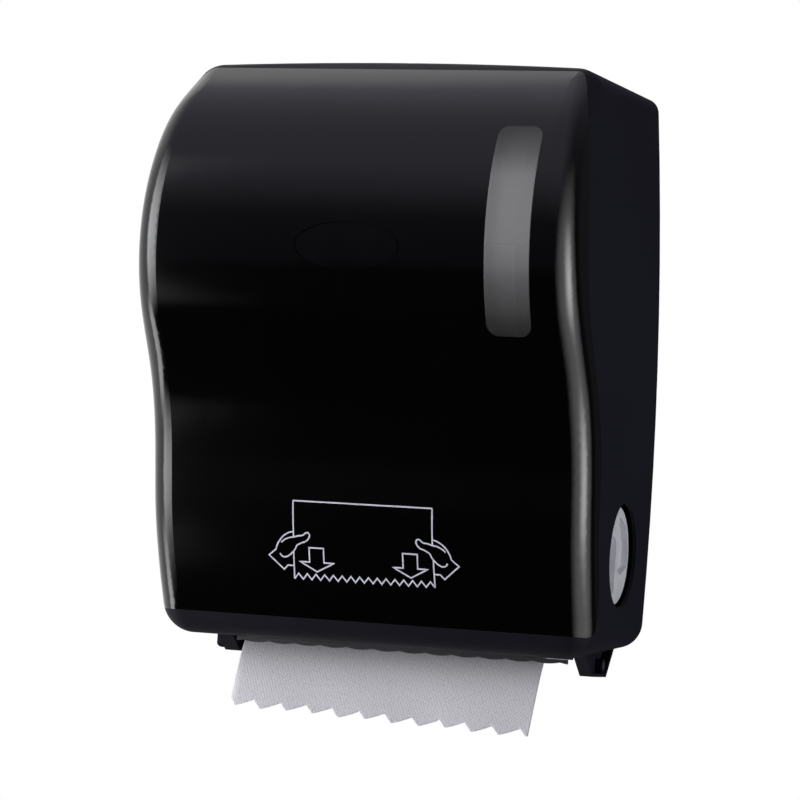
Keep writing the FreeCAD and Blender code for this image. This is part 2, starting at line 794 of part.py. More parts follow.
def side_plate(name, start, anchor_top):
    """One side plate as a sketched pad in the plane across X."""
    ear = as_length(8)
    corners = [
        (out(plate_thickness), up(16)),
        (hinge_y + ear + 3, up(13)),
        (hinge_y + ear, hinge_z - 5.5),
        (hinge_y - ear, hinge_z - 5.5),
        (hinge_y - ear - 3, up(13)),
        (drum_y - 22, up(20)),
        (drum_y - drum_radius - 6, drum_z - 16),
        (drum_y - drum_radius - 6, drum_z + 28),
        (front_rod_at[0], front_rod_at[1] + 8),
        (out(52), anchor_top),
        (out(30), anchor_top),
        (out(plate_thickness), up(134)),
    ]
    half = pinch_block / 2 + 0.2
    window = [
        (pinch_y + half + pinch_travel + 5.5, drum_z - half),
        (pinch_y + half + pinch_travel + 5.5, drum_z + half),
        (pinch_y - half - 0.3, drum_z + half),
        (pinch_y - half - 0.3, drum_z - half),
    ]
    holes = [
        ((drum_y, drum_z), shaft_radius + running_gap),
        ((hinge_y, hinge_z), hinge_pin_radius),
        (rear_rod_at, rod_radius),
        (front_rod_at, rod_radius),
    ]
    return plate_body(name, "YZ_Plane", start, side_plate_wall, corners, holes, [window])


left_plate = side_plate("left_plate", left_plate_outer, up(160))
round_corners(left_plate, 6, [(out(52), up(160)), (out(30), up(160))], Vector(1, 0, 0))
node(left_plate, "side_plate_left")
right_plate = side_plate("right_plate", right_plate_inner, up(126))
node(right_plate, "side_plate_right")

span = right_plate_outer - left_plate_outer
tie_rods = [
    rod("rear_rod", "X", (left_plate_outer, *rear_rod_at), rod_radius, span),
    rod("front_rod", "X", (left_plate_outer, *front_rod_at), rod_radius, span),
]
node(group("rods", tie_rods), "tie_rods")

# Angles that screw each side plate to the back plate
angle_feet = []
angle_screws = []
for hand, face_x in ((-1, left_plate_outer), (1, right_plate_outer)):
    for height in (22, 94):
        tab = f"{'left' if hand < 0 else 'right'}_{height}"
        low_x = face_x - 13 if hand < 0 else face_x
        foot = block(
            "foot_" + tab, (low_x, low_x + 13), (out(plate_thickness + 2.4), out(plate_thickness)),
            (up(height), up(height + 18)),
        )
        angle_feet.append(foot)
        centre_x = low_x + 6.5
        head = rod("head_" + tab, "Y", (centre_x, out(plate_thickness + 4.4), up(height + 9)), 3.5, 2)
        angle_screws.append(head)
node(group("feet", angle_feet), "plate_feet")
node(group("heads", angle_screws), "plate_screws")

pin_length = side_plate_wall + right_lug_width - 0.8
right_pin = rod("right_pin", "X", (right_plate_inner, hinge_y, hinge_z), hinge_pin_radius, pin_length)
node(right_pin, "hinge_pin_right")
left_pin_length = side_plate_wall + left_lug_width + left_knuckle_width - 2
left_pin_start = left_plate_inner - left_pin_length
left_pin = rod("left_pin", "X", (left_pin_start, hinge_y, hinge_z), hinge_pin_radius, left_pin_length)
node(left_pin, "hinge_pin_left")


# Paper guide: a bent chute between the side plates that leads the towel to the slot
guide_drop = 3.4
exit_sum = drum_depth.number + drum_height.number
wrap_radius = (drum_radius + band_proud + paper_gap).number
line_sum = exit_sum - (wrap_radius + paper_thickness.number) * math.sqrt(2)


def guide_line(depth, drop):
    """Height of a line that runs down and forward beside the leaving towel."""
    return line_sum - depth - drop


guide_start = plate_thickness.number
guide_corners = [
    (guide_start, guide_line(33, guide_drop) + 1.2),
    (33, guide_line(33, guide_drop)),
    (73, guide_line(73, guide_drop)),
    (74.5, guide_line(73, guide_drop) - 4),
    (72.5, guide_line(73, guide_drop) - 4),
    (71.5, guide_line(71.5, guide_drop + 2.6)),
    (32, guide_line(32, guide_drop + 2.6)),
    (guide_start + 2, guide_line(33, guide_drop) - 1),
    (guide_start + 2, 18),
    (guide_start, 18),
]
guide_start_x = left_plate_inner + 0.2
guide_length = right_plate_inner - 0.2 - guide_start_x
paper_guide = plate_body(
    "guide",
    "YZ_Plane",
    guide_start_x,
    guide_length,
    [(out(depth), up(height)) for depth, height in guide_corners],
)
node(paper_guide, "paper_guide")


# Drum guard: a curved plate in front of the drum, between the side plates
def drum_guard():
    inner = drum_radius.number + 8
    outer = inner + 2
    low_x = guide_start_x.number
    length = guide_length.number
    centre = Vector(low_x, drum_y.number, drum_z.number)
    axis = Vector(1, 0, 0)
    ring = Part.makeCylinder(outer, length, centre, axis).cut(Part.makeCylinder(inner, length, centre, axis))
    low_angle, high_angle = math.radians(-58), math.radians(2)
    reach = outer * 3
    points = [Vector(low_x, centre.y, centre.z)]
    for angle in (low_angle, (low_angle + high_angle) / 2, high_angle):
        shift = Vector(0, -reach * math.cos(angle), reach * math.sin(angle))
        points.append(Vector(low_x, centre.y, centre.z) + shift)
    wedge = Part.Face(Part.makePolygon(points + points[:1])).extrude(Vector(length, 0, 0))
    return ring.common(wedge)


solid_feature(drum_guard(), "drum_guard")


# Feed drum: a slotted tube with two caps, their shafts, rubber bands, the knob and the crank
slot_turn = Rotation(Vector(1, 0, 0), cutter_slot_angle.number)
drum_tube = rod("drum_tube", "X", (-drum_half_length, drum_y, drum_z), drum_radius, drum_half_length * 2)
drum_hollow = rod(
    "drum_hollow", "X", (-drum_half_length - 1, drum_y, drum_z), drum_radius - drum_wall,
    drum_half_length * 2 + 2
)
band_width_each = 22
band_places = (-84, -32, 32, 84)
groove_depth = 0.9


def radial_box(name, half_length, side_low, side_high, radial_low, radial_high):
    """A box turned to lie across the cutter slot's direction, seen from the drum's axis."""
    width = side_high - side_low
    height = radial_high - radial_low
    shape = Part.makeBox(2 * half_length, height, width, Vector(-half_length, -radial_high, side_low))
    shape.rotate(Vector(0, 0, 0), Vector(1, 0, 0), -cutter_slot_angle.number)
    shape.translate(Vector(0, drum_y.number, drum_z.number))
    feature = doc.addObject("Part::Feature", name)
    feature.Shape = shape
    return feature


slot_low = cutter_slot_low.number
slot_high = cutter_slot_high.number
slot_floor = 20
slot_reach = drum_radius.number + 22
slot_cutter = radial_box(
    "slot_cutter", drum_half_length.number - 4, slot_low, slot_high, slot_floor, slot_reach
)
grooves = []
bands = []
for number, x in enumerate(band_places):
    start_x = x - band_width_each / 2
    outer = rod(f"groove_outer{number}", "X", (start_x, drum_y, drum_z), drum_radius + 1, band_width_each)
    core = rod(
        f"groove_core{number}", "X", (start_x - 1, drum_y, drum_z), drum_radius - groove_depth,
        band_width_each + 2,
    )
    grooves.append(carve(f"groove{number}", outer, [core]))
    ring = rod(
        f"ring_outer{number}", "X", (start_x + 0.1, drum_y, drum_z), drum_radius + band_proud,
        band_width_each - 0.2,
    )
    ring_core = rod(
        f"ring_core{number}", "X", (start_x - 1, drum_y, drum_z), drum_radius - groove_depth + 0.02,
        band_width_each + 2
    )
    ring_slot = radial_box(
        f"ring_slot{number}", drum_half_length.number, slot_low - 0.2, slot_high + 0.2, slot_floor, slot_reach
    )
    bands.append(carve(f"band{number}", ring, [ring_core, ring_slot]))
node(carve("drum_solid", drum_tube, [drum_hollow, slot_cutter] + grooves), "drum_shell")
node(group("bands", bands), "drum_grip_bands")


def around_drum(out_along, side):
    """A point given outwards along the cutter slot and sideways across it."""
    angle = math.radians(cutter_slot_angle.number)
    forward = out_along * math.cos(angle) - side * math.sin(angle)
    rise = out_along * math.sin(angle) + side * math.cos(angle)
    return drum_y.number - forward, drum_z.number + rise


pivot_y, pivot_z = around_drum(cutter_pivot_out.number, -cutter_pivot_side.number)


def drum_cap(hand, label, shaft_end):
    """A drum end with its shaft and the hole for the cutter rod."""
    cap_start = drum_half_length - drum_cap_wall if hand > 0 else -drum_half_length
    disc = rod(
        label + "_disc", "X", (cap_start, drum_y, drum_z), drum_radius - drum_wall - 0.05, drum_cap_wall
    )
    shaft_start = drum_half_length if hand > 0 else shaft_end
    shaft_length = shaft_end - drum_half_length if hand > 0 else -drum_half_length - shaft_end
    shaft = rod(label + "_shaft", "X", (shaft_start, drum_y, drum_z), shaft_radius, shaft_length)
    hole = rod(
        label + "_hole", "X", (cap_start - 1, pivot_y, pivot_z), cutter_rod_radius + running_gap,
        drum_cap_wall + 2
    )
    node(carve(label + "_cut", merge(label + "_solid", [disc, shaft]), [hole]), label)


crank_outer = left_plate_outer - 7
drum_cap(1, "drum_cap_right", knob_face_x - knob_scoop_depth - knob_web)
drum_cap(-1, "drum_cap_left", crank_outer)


# Feed knob: a disc with a grip bar between two finger scoops that mirror each other about its centre
def feed_knob():
    start = (knob_face_x - knob_wall).number
    axis = Vector(1, 0, 0)
    centre = Vector(start, drum_y.number, drum_z.number)
    disc = Part.makeCylinder(knob_radius.number, knob_wall.number, centre, axis)
    rim = [edge for edge in disc.Edges if edge.CenterOfMass.x > start + 1 and edge.Length > 10]
    rim = [edge for edge in rim if edge.Curve.TypeId == "Part::GeomCircle"]
    disc = disc.makeFillet(1.2, rim)
    scoop_depth = knob_scoop_depth.number
    bore_length = knob_wall.number - scoop_depth - knob_web.number
    disc = disc.cut(Part.makeCylinder(shaft_radius.number + 0.02, bore_length, centre, axis))
    face_x = knob_face_x.number
    reach = knob_radius.number - 4
    for hand in (-1, 1):
        corners = [(2.5, 9), (11, 12), (reach, 6), (reach, -8), (18, -20), (2.5, -25)]
        points = [Vector(face_x - scoop_depth, -hand * u, hand * v) for u, v in corners]
        points = [point + Vector(0, drum_y.number, drum_z.number) for point in points]
        wall_face = Part.Face(Part.makePolygon(points + points[:1]))
        scoop = wall_face.extrude(Vector(scoop_depth + 5, 0, 0))
        upright = [edge for edge in scoop.Edges if abs(edge.tangentAt(0).x) > 0.99]
        scoop = scoop.makeFillet(2, upright)
        disc = disc.cut(scoop)
    return disc


solid_feature(feed_knob(), "feed_knob")

# Crank on the left shaft, its pin, the anchor post and the return spring between them
anchor_y = out(41)
anchor_z = up(150)
crank_reach = 18
reach_to_anchor = math.hypot(anchor_y.number - drum_y.number, anchor_z.number - drum_z.number)
crank_dir_y = (anchor_y.number - drum_y.number) / reach_to_anchor
crank_dir_z = (anchor_z.number - drum_z.number) / reach_to_anchor
crank_pin_y = drum_y + crank_reach * crank_dir_y
crank_pin_z = drum_z + crank_reach * crank_dir_z


def crank_arm():
    start = crank_outer.number - 4
    axis = Vector(1, 0, 0)
    hub = Part.makeCylinder(10, 4, Vector(start, drum_y.number, drum_z.number), axis)
    eye = Part.makeCylinder(5.5, 4, Vector(start, crank_pin_y.number, crank_pin_z.number), axis)
    half = Vector(0, -crank_dir_z, crank_dir_y)
    hub_centre = Vector(start, drum_y.number, drum_z.number)
    eye_centre = Vector(start, crank_pin_y.number, crank_pin_z.number)
    points = [hub_centre + half * 8, eye_centre + half * 5, eye_centre - half * 5, hub_centre - half * 8]
    web = Part.Face(Part.makePolygon(points + points[:1])).extrude(Vector(4, 0, 0))
    return hub.fuse(eye).fuse(web).removeSplitter()


solid_feature(crank_arm(), "crank_arm")
crank_pin = rod("crank_pin_rod", "X", (crank_outer - 13, crank_pin_y, crank_pin_z), 2.5, 9)
node(crank_pin, "crank_pin")
anchor_length = left_plate_outer - (crank_outer - 13)
anchor = rod("anchor_rod", "X", (crank_outer - 13, anchor_y, anchor_z), 3, anchor_length)
node(anchor, "spring_anchor")


def return_spring():
    """Closed coil of the return spring with an eye round the pin at each end."""
    x = crank_outer.number - 8.5
    start = Vector(x, crank_pin_y.number, crank_pin_z.number)
    end = Vector(x, anchor_y.number, anchor_z.number)
    along = (end - start).normalize()
    length = (end - start).Length
    coil = Part.makeCylinder(4, length - 16, start + along * 8, along)
    spring = coil
    for centre, inner, away in ((start, 2.8, along), (end, 3.3, -along)):
        wire = 0.6
        low = centre - Vector(wire, 0, 0)
        eye = Part.makeCylinder(inner + 2 * wire, 2 * wire, low, Vector(1, 0, 0))
        eye = eye.cut(Part.makeCylinder(inner, 2 * wire, low, Vector(1, 0, 0)))
        neck = Part.makeCylinder(wire, 8 - inner, centre + away * (inner + wire), away)
        spring = spring.fuse(eye).fuse(neck)
    return spring


solid_feature(return_spring(), "return_spring")


# Cutter: a carrier that swings about a rod in the drum caps and holds the toothed blade
def cutter_point(reach, lift):
    """A point along the carrier from its pivot, lifted across it."""
    angle = math.radians(cutter_lean.number)
    out_along = cutter_pivot_out.number + reach * math.sin(angle) + lift * math.cos(angle)
    side = -cutter_pivot_side.number + reach * math.cos(angle) - lift * math.sin(angle)
    return around_drum(out_along, side)


def cutter_slab(near, far, low, high, half_length):
    """A flat bar along the drum, between two distances from the pivot."""
    corners = [
        cutter_point(near, low), cutter_point(far, low), cutter_point(far, high),
        cutter_point(near, high),
    ]
    points = [Vector(-half_length, y, z) for y, z in corners]
    return Part.Face(Part.makePolygon(points + points[:1])).extrude(Vector(2 * half_length, 0, 0))


blade_half = roll_width.number / 2 - 3
carrier_half = drum_half_length.number - drum_cap_wall.number - 0.5


def blade_carrier():
    axis = Vector(1, 0, 0)
    start = Vector(-carrier_half, pivot_y, pivot_z)
    tube = Part.makeCylinder(3.4, 2 * carrier_half, start, axis)
    bar = cutter_slab(1, 12.5, -1.2, 1.2, carrier_half - 1)
    bore = Part.makeCylinder(cutter_rod_radius.number + 0.02, 2 * carrier_half, start, axis)
    return tube.fuse(bar).cut(bore)


solid_feature(blade_carrier(), "blade_carrier")
cutter_rod_half = drum_half_length.number - 1
cutter_rod = rod(
    "cutter_rod", "X", (-cutter_rod_half, pivot_y, pivot_z), cutter_rod_radius, 2 * cutter_rod_half
)
node(cutter_rod, "blade_rod")


def cutter_blade():
    """A thin strip with a row of sharp teeth on its outer edge."""
    tip = cutter_reach.number
    root = tip - tooth_depth.number
    low, high = 1.2, 2
    strip = cutter_slab(6, root + 0.1, low, high, blade_half)
    pitch = tooth_pitch.number
    count = int(2 * blade_half // pitch)
    first = -count * pitch / 2
    pieces = []
    for number in range(count):
        left = first + number * pitch
        corners = [(left, root), (left + pitch / 2, tip), (left + pitch, root)]
        points = [Vector(x, *cutter_point(reach, low)) for x, reach in corners]
        face = Part.Face(Part.makePolygon(points + points[:1]))
        offset_y, offset_z = cutter_point(root, high)
        base_y, base_z = cutter_point(root, low)
        pieces.append(face.extrude(Vector(0, offset_y - base_y, offset_z - base_z)))
    return strip.multiFuse(pieces).removeSplitter()


solid_feature(cutter_blade(), "cutter_blade")

# Pinch roller: three sleeves on a shaft that runs in two sprung blocks
sleeve_length = roll_width * 0.3
sleeve_starts = (roll_width * -0.5, roll_width * -0.15, roll_width * 0.2)
pinch_sleeves = []
for number, start_x in enumerate(sleeve_starts):
    sleeve = rod(f"sleeve{number}", "X", (start_x, pinch_y, drum_z), pinch_radius, sleeve_length)
    sleeve_bore = rod(
        f"sleeve_bore{number}", "X", (start_x - 1, pinch_y, drum_z), pinch_shaft_radius + 0.02,
        sleeve_length + 2
    )
    pinch_sleeves.append(carve(f"sleeve_cut{number}", sleeve, [sleeve_bore]))
node(group("sleeves", pinch_sleeves), "pinch_sleeves")
pinch_shaft_start = left_plate_outer - 2
pinch_shaft_length = right_plate_outer + 2 - pinch_shaft_start
pinch_shaft = rod(
    "pinch_shaft_rod", "X", (pinch_shaft_start, pinch_y, drum_z), pinch_shaft_radius, pinch_shaft_length
)
node(pinch_shaft, "pinch_shaft")


def pinch_block_part(name, label, plate_start, flange_start):
    """A sliding bearing block with a flange that keeps it in the side plate's window."""
    half = pinch_block / 2
    core = block(
        name + "_core", (plate_start, plate_start + side_plate_wall), (pinch_y - half, pinch_y + half),
        (drum_z - half, drum_z + half)
    )
    flange = block(
        name + "_flange", (flange_start, flange_start + 2), (pinch_y - half - 2, pinch_y + half),
        (drum_z - half - 2, drum_z + half + 2)
    )
    bore = rod(
        name + "_bore", "X", (plate_start - 5, pinch_y, drum_z), pinch_shaft_radius + running_gap,
        side_plate_wall + 10,
    )
    node(carve(name + "_cut", merge(name + "_solid", [core, flange]), [bore]), label)


pinch_block_part("left_block", "pinch_block_left", left_plate_outer, left_plate_inner)
pinch_block_part("right_block", "pinch_block_right", right_plate_inner, right_plate_inner - 2)
spring_start = pinch_depth - pinch_block / 2 - pinch_travel - 5.5
spring_length = pinch_depth - pinch_block / 2 - spring_start - 0.2
for side, plate_start in (("left", left_plate_outer), ("right", right_plate_inner)):
    middle_x = plate_start + side_plate_wall / 2
    pinch_spring = rod(
        f"{side}_pinch_coil", "Y", (middle_x, out(spring_start + spring_length), drum_z), 3.5,
        spring_length,
    )
    node(pinch_spring, f"pinch_spring_{side}")

# Paper roll on its core, carried by a hub on each arm
roll_y = out(roll_depth)
roll_z = up(roll_height)
roll_half = roll_width / 2
paper_outer = rod("paper_outer", "X", (-roll_half, roll_y, roll_z), roll_radius, roll_width)
paper_bore = rod("paper_bore", "X", (-roll_half - 1, roll_y, roll_z), core_radius + core_wall, roll_width + 2)
node(carve("paper_cut", paper_outer, [paper_bore]), "paper_roll")
core_outer = rod("core_outer", "X", (-roll_half, roll_y, roll_z), core_radius + core_wall, roll_width)
core_bore = rod("core_bore", "X", (-roll_half - 1, roll_y, roll_z), core_radius, roll_width + 2)
node(carve("core_cut", core_outer, [core_bore]), "roll_core")

hub_flange_wall = 2.4
hub_face = roll_half + 0.4
arm_inner = roll_half + arm_gap
arm_middle = arm_inner + arm_wall / 2
arm_pivot_y = out(arm_pivot_depth)


def roll_hub(hand, label):
    """A hub: flange against the roll's end and a tapered plug in its core."""
    flange_start = hub_face if hand > 0 else -hub_face - hub_flange_wall
    flange = rod(label + "_flange", "X", (flange_start, roll_y, roll_z), hub_flange_radius, hub_flange_wall)
    if hand > 0:
        plug_start = hub_face - hub_plug_length
        plug = taper(
            label + "_plug", "X", (plug_start, roll_y, roll_z), core_radius - 2.8, core_radius - 0.4,
            hub_plug_length,
        )
    else:
        plug = taper(
            label + "_plug", "X", (-hub_face, roll_y, roll_z), core_radius - 0.4, core_radius - 2.8,
            hub_plug_length,
        )
        plug_start = -hub_face
    bore = rod(
        label + "_bore", "X", (plug_start - 10, roll_y, roll_z), hub_stub_radius + running_gap,
        hub_plug_length + 20,
    )
    node(carve(label + "_cut", merge(label + "_solid", [flange, plug]), [bore]), label)


roll_hub(-1, "roll_hub_left")
roll_hub(1, "roll_hub_right")


def roll_arm(hand, label):
    """An arm from its upright pivot pin to the stub that the hub turns on."""
    start = arm_inner if hand > 0 else -arm_inner - arm_wall
    half = arm_half_height
    tip = roll_y - 14
    corners = [
        (arm_pivot_y + 3.5, roll_z - half),
        (roll_y + 30, roll_z - half + 2),
        (tip + 8, roll_z - 12),
        (tip, roll_z - 4),
        (tip, roll_z + 4),
        (tip + 8, roll_z + 12),
        (roll_y + 30, roll_z + half - 2),
        (arm_pivot_y + 3.5, roll_z + half),
    ]
    lightening = [
        (arm_pivot_y - 14, roll_z - half + 6),
        (roll_y + 30, roll_z - half + 7),
        (roll_y + 30, roll_z + half - 7),
        (arm_pivot_y - 14, roll_z + half - 6),
    ]
    plate = plate_body(label + "_plate", "YZ_Plane", start, arm_wall, corners, (), [lightening])
    stub_start = arm_inner - hub_plug_length - 3 if hand > 0 else -arm_inner
    stub = rod(label + "_stub", "X", (stub_start, roll_y, roll_z), hub_stub_radius, hub_plug_length + 3)
    knuckle = rod(label + "_knuckle", "Z", (arm_middle * hand, arm_pivot_y, roll_z - half), 4.5, half * 2)
    bore = rod(
        label + "_pin_bore", "Z", (arm_middle * hand, arm_pivot_y, roll_z - half - 1),
        arm_pin_radius + running_gap, half * 2 + 2,
    )
    node(carve(label + "_cut", merge(label + "_solid", [plate, stub, knuckle]), [bore]), label)


def arm_bracket(hand, label):
    """A bracket on the back plate with an ear above and below the arm's knuckle."""
    middle = arm_middle * hand
    half = arm_half_height
    base_low = roll_z - half - 6
    base = block(
        label + "_base", (middle - 7, middle + 7), (out(plate_thickness + 2), out(plate_thickness)),
        (base_low, roll_z + half + 6),
    )
    ears = []
    for place_name, low in (("low", roll_z - half - 4.4), ("high", roll_z + half + 0.4)):
        ears.append(
            block(
                f"{label}_{place_name}_ear", (middle - 6, middle + 6),
                (arm_pivot_y - 6, out(plate_thickness + 1)), (low, low + 4),
            )
        )
    bore = rod(label + "_bore", "Z", (middle, arm_pivot_y, base_low), arm_pin_radius, half * 2 + 12)
    node(carve(label + "_cut", merge(label + "_solid", [base] + ears), [bore]), label)


for hand, side in ((-1, "left"), (1, "right")):
    roll_arm(hand, f"roll_arm_{side}")
    arm_bracket(hand, f"arm_bracket_{side}")
    pin_start = roll_z - arm_half_height - 5
    arm_pin = rod(
        f"{side}_arm_pin", "Z", (arm_middle * hand, arm_pivot_y, pin_start), arm_pin_radius,
        arm_half_height * 2 + 10,
    )
    node(arm_pin, f"arm_pin_{side}")


# Towel: one web from the roll, round the rear of the drum and out of the slot, with a scalloped edge
def paper_towel():
    thick = paper_thickness.number
    gap = paper_gap.number
    roll_centre = Vector(0, roll_y.number, roll_z.number)
    drum_centre = Vector(0, drum_y.number, drum_z.number)
    roll_r = roll_radius.number + gap
    wrap_r = wrap_radius
    leave = math.radians(45)
    hang = math.radians(tail_angle.number)
    # The web touches both circles on their wall side, so it leans by the difference of their radii.
    apart = drum_centre - roll_centre
    touch = math.asin((roll_r - wrap_r) / apart.Length) - math.atan2(apart.y, -apart.z)

    def on_circle(centre, radius, turn):
        return centre + Vector(0, radius * math.cos(turn), -radius * math.sin(turn))

    def layer(offset):
        start = on_circle(roll_centre, roll_r + offset, touch)
        meet = on_circle(drum_centre, wrap_r + offset, touch)
        crest = on_circle(drum_centre, wrap_r + offset, (leave + touch) / 2)
        part = on_circle(drum_centre, wrap_r + offset, leave)
        run = 49
        bend_r = 90 - offset
        bend_start = part + Vector(0, -run * math.sin(leave), -run * math.cos(leave))
        bend_centre = bend_start + Vector(0, bend_r * math.cos(leave), -bend_r * math.sin(leave))

        def on_bend(heading):
            return bend_centre + Vector(0, -bend_r * math.cos(heading), bend_r * math.sin(heading))

        bend_middle = on_bend((leave + hang) / 2)
        bend_end = on_bend(hang)
        fall = 40
        end = bend_end + Vector(0, -fall * math.sin(hang), -fall * math.cos(hang))
        return start, meet, crest, part, bend_start, bend_middle, bend_end, end

    near = layer(0)
    far = layer(thick)
    edges = []
    for points in (near, far):
        start, meet, crest, part, bend_start, bend_middle, bend_end, end = points
        edges.append(Part.makeLine(start, meet))
        edges.append(Part.Arc(meet, crest, part).toShape())
        edges.append(Part.makeLine(part, bend_start))
        edges.append(Part.Arc(bend_start, bend_middle, bend_end).toShape())
        edges.append(Part.makeLine(bend_end, end))
    edges.append(Part.makeLine(near[0], far[0]))
    edges.append(Part.makeLine(near[-1], far[-1]))
    face = Part.Face(Part.Wire(Part.__sortEdges__(edges)))
    half = roll_width.number / 2
    face.translate(Vector(-half, 0, 0))
    web = face.extrude(Vector(2 * half, 0, 0))
    return web.cut(below_scallops(half))


def below_scallops(half):
    """What lies below the cut edge: tips that fall steeply on their left, on a slightly slanted line."""
    pitch = scallop_pitch.number
    lead = scallop_lead.number
    left = up(-tail_left_drop).number
    slope = (up(-tail_right_drop).number - left) / (2 * half)
    points = []
    x = -half - pitch
    while x < half + pitch:
        points.append(Vector(x, 0, left + slope * (x + half) + scallop_depth.number))
        points.append(Vector(x + lead, 0, left + slope * (x + lead + half)))
        x += pitch
    floor = left - 60
    points += [Vector(points[-1].x, 0, floor), Vector(points[0].x, 0, floor)]
    region = Part.Face(Part.makePolygon(points + points[:1]))
    region.translate(Vector(0, -roll_depth.number - 150, 0))
    return region.extrude(Vector(0, roll_depth.number + 150, 0))


solid_feature(paper_towel(), "paper_towel")


# Check every feature and sub-part, then write one file for each sub-part
doc.recompute()
faults = []
for feature in doc.Objects:
    if "Invalid" in feature.State or "Error" in feature.State:
        faults.append(feature.Label)
for part in nodes:
    if part.Shape.isNull() or not part.Shape.isValid() or not part.Shape.Solids:
        faults.append(part.Label + " shape")
if faults:
    raise RuntimeError("failed: " + ", ".join(faults))
os.makedirs("parts", exist_ok=True)
for part in nodes:
    part.Shape.exportStep(f"parts/{part.Label}.step")
print(len(nodes), "sub-parts written")
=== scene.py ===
import math
import bpy
import bmesh
from mathutils import Matrix, Vector
from mathutils.bvhtree import BVHTree


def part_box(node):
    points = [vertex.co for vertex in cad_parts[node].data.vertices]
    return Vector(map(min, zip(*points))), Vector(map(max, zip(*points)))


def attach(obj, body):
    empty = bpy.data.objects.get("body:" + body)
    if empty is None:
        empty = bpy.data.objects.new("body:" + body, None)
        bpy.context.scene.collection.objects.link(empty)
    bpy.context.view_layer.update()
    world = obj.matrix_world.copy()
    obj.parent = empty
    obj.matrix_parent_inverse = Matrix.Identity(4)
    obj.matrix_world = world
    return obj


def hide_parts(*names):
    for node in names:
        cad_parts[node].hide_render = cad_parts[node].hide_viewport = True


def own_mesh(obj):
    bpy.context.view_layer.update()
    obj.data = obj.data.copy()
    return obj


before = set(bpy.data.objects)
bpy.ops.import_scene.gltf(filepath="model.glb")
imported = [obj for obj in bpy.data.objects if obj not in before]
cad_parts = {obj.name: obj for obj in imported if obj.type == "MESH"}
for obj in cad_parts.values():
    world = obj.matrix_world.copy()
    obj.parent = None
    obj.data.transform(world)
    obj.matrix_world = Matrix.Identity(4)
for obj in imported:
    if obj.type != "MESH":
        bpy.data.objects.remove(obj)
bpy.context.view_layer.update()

# Studio: the dispenser is seen from a little to its right and from slightly below its middle, tilted by a
# few degrees. Two soft lamps stand to its left and one to its right.
scene = bpy.context.scene
scene.view_settings.view_transform = "Standard"

azimuth = math.radians(18.42)
pitch = math.radians(4.137)
roll = math.radians(4.019)
camera_place = Vector((0.60574, -1.92102, -0.16950))
focal_pixels = 3045
picture_pixels = 800
level_share = math.cos(pitch)
forward = Vector((-math.sin(azimuth) * level_share, math.cos(azimuth) * level_share, math.sin(pitch)))
level_right = Vector((math.cos(azimuth), math.sin(azimuth), 0))
level_up = level_right.cross(forward)
right = level_right * math.cos(roll) + level_up * math.sin(roll)
upward = level_up * math.cos(roll) - level_right * math.sin(roll)
camera_data = bpy.data.cameras.new("camera")
camera_data.sensor_width = 36
camera_data.lens = focal_pixels / picture_pixels * camera_data.sensor_width
camera = bpy.data.objects.new("camera", camera_data)
scene.collection.objects.link(camera)
turn = Matrix((right, upward, -forward)).transposed()
camera.matrix_world = Matrix.Translation(camera_place) @ turn.to_4x4()
scene.camera = camera


def new_material(name):
    """A node material, its node tree and its Principled shader."""
    material = bpy.data.materials.new(name)
    material.use_nodes = True
    tree = material.node_tree
    shader = tree.nodes["Principled BSDF"]
    return material, tree, shader


def add_node(tree, kind, **sockets):
    """A new node with some of its sockets set by name."""
    node = tree.nodes.new(kind)
    for name, value in sockets.items():
        node.inputs[name.replace("_", " ")].default_value = value
    return node


def softbox(name, place, width, height, power, side_fade, end_fade):
    """An area lamp aimed at the dispenser, brightest in its middle and fading towards its rim."""
    data = bpy.data.lights.new(name, "AREA")
    data.shape = "RECTANGLE"
    data.size = width
    data.size_y = height
    data.energy = power
    data.color = (0.97, 0.98, 1.0)
    data.use_nodes = True
    tree = data.node_tree
    place_on_lamp = tree.nodes.new("ShaderNodeNewGeometry")
    split = tree.nodes.new("ShaderNodeSeparateXYZ")
    tree.links.new(place_on_lamp.outputs["Parametric"], split.inputs[0])
    both = tree.nodes.new("ShaderNodeMath")
    both.operation = "MULTIPLY"
    for number, (axis, fade) in enumerate((("X", side_fade), ("Y", end_fade))):
        tent = tree.nodes.new("ShaderNodeMath")
        tent.operation = "PINGPONG"
        tent.inputs[1].default_value = 0.5
        tree.links.new(split.outputs[axis], tent.inputs[0])
        edge = add_node(tree, "ShaderNodeMapRange", From_Min=0.0, From_Max=fade / 2)
        edge.interpolation_type = "SMOOTHSTEP"
        tree.links.new(tent.outputs[0], edge.inputs["Value"])
        tree.links.new(edge.outputs["Result"], both.inputs[number])
    tree.links.new(both.outputs[0], tree.nodes["Emission"].inputs["Strength"])
    lamp = bpy.data.objects.new(name, data)
    scene.collection.objects.link(lamp)
    lamp.location = place
    aim_height = place[2] * 0.3
    aim = Vector((0, 0, aim_height)) - Vector(place)
    lamp.rotation_euler = aim.to_track_quat("-Z", "Y").to_euler()


softbox("left_softbox", (-1.08, -1.04, 0.04), 1.1, 2.8, 74, 0.5, 1.0)
softbox("left_low_softbox", (-1.11, -0.45, -0.92), 0.5, 1.1, 8, 0.5, 0.8)
softbox("right_softbox", (1.43, -0.30, -0.17), 1.1, 1.35, 32, 1.0, 1.0)


# Surround: rays that reach it straight from the camera find plain white. Reflections find the same white to
# the left and above the rear of the dispenser, a soft glow to its right, and a dark room elsewhere.
world = bpy.data.worlds.new("surround")
scene.world = world
world.use_nodes = True
world_tree = world.node_tree
world_links = world_tree.links
world_tree.nodes.remove(world_tree.nodes["Background"])
ray_direction = world_tree.nodes.new("ShaderNodeTexCoord").outputs["Generated"]


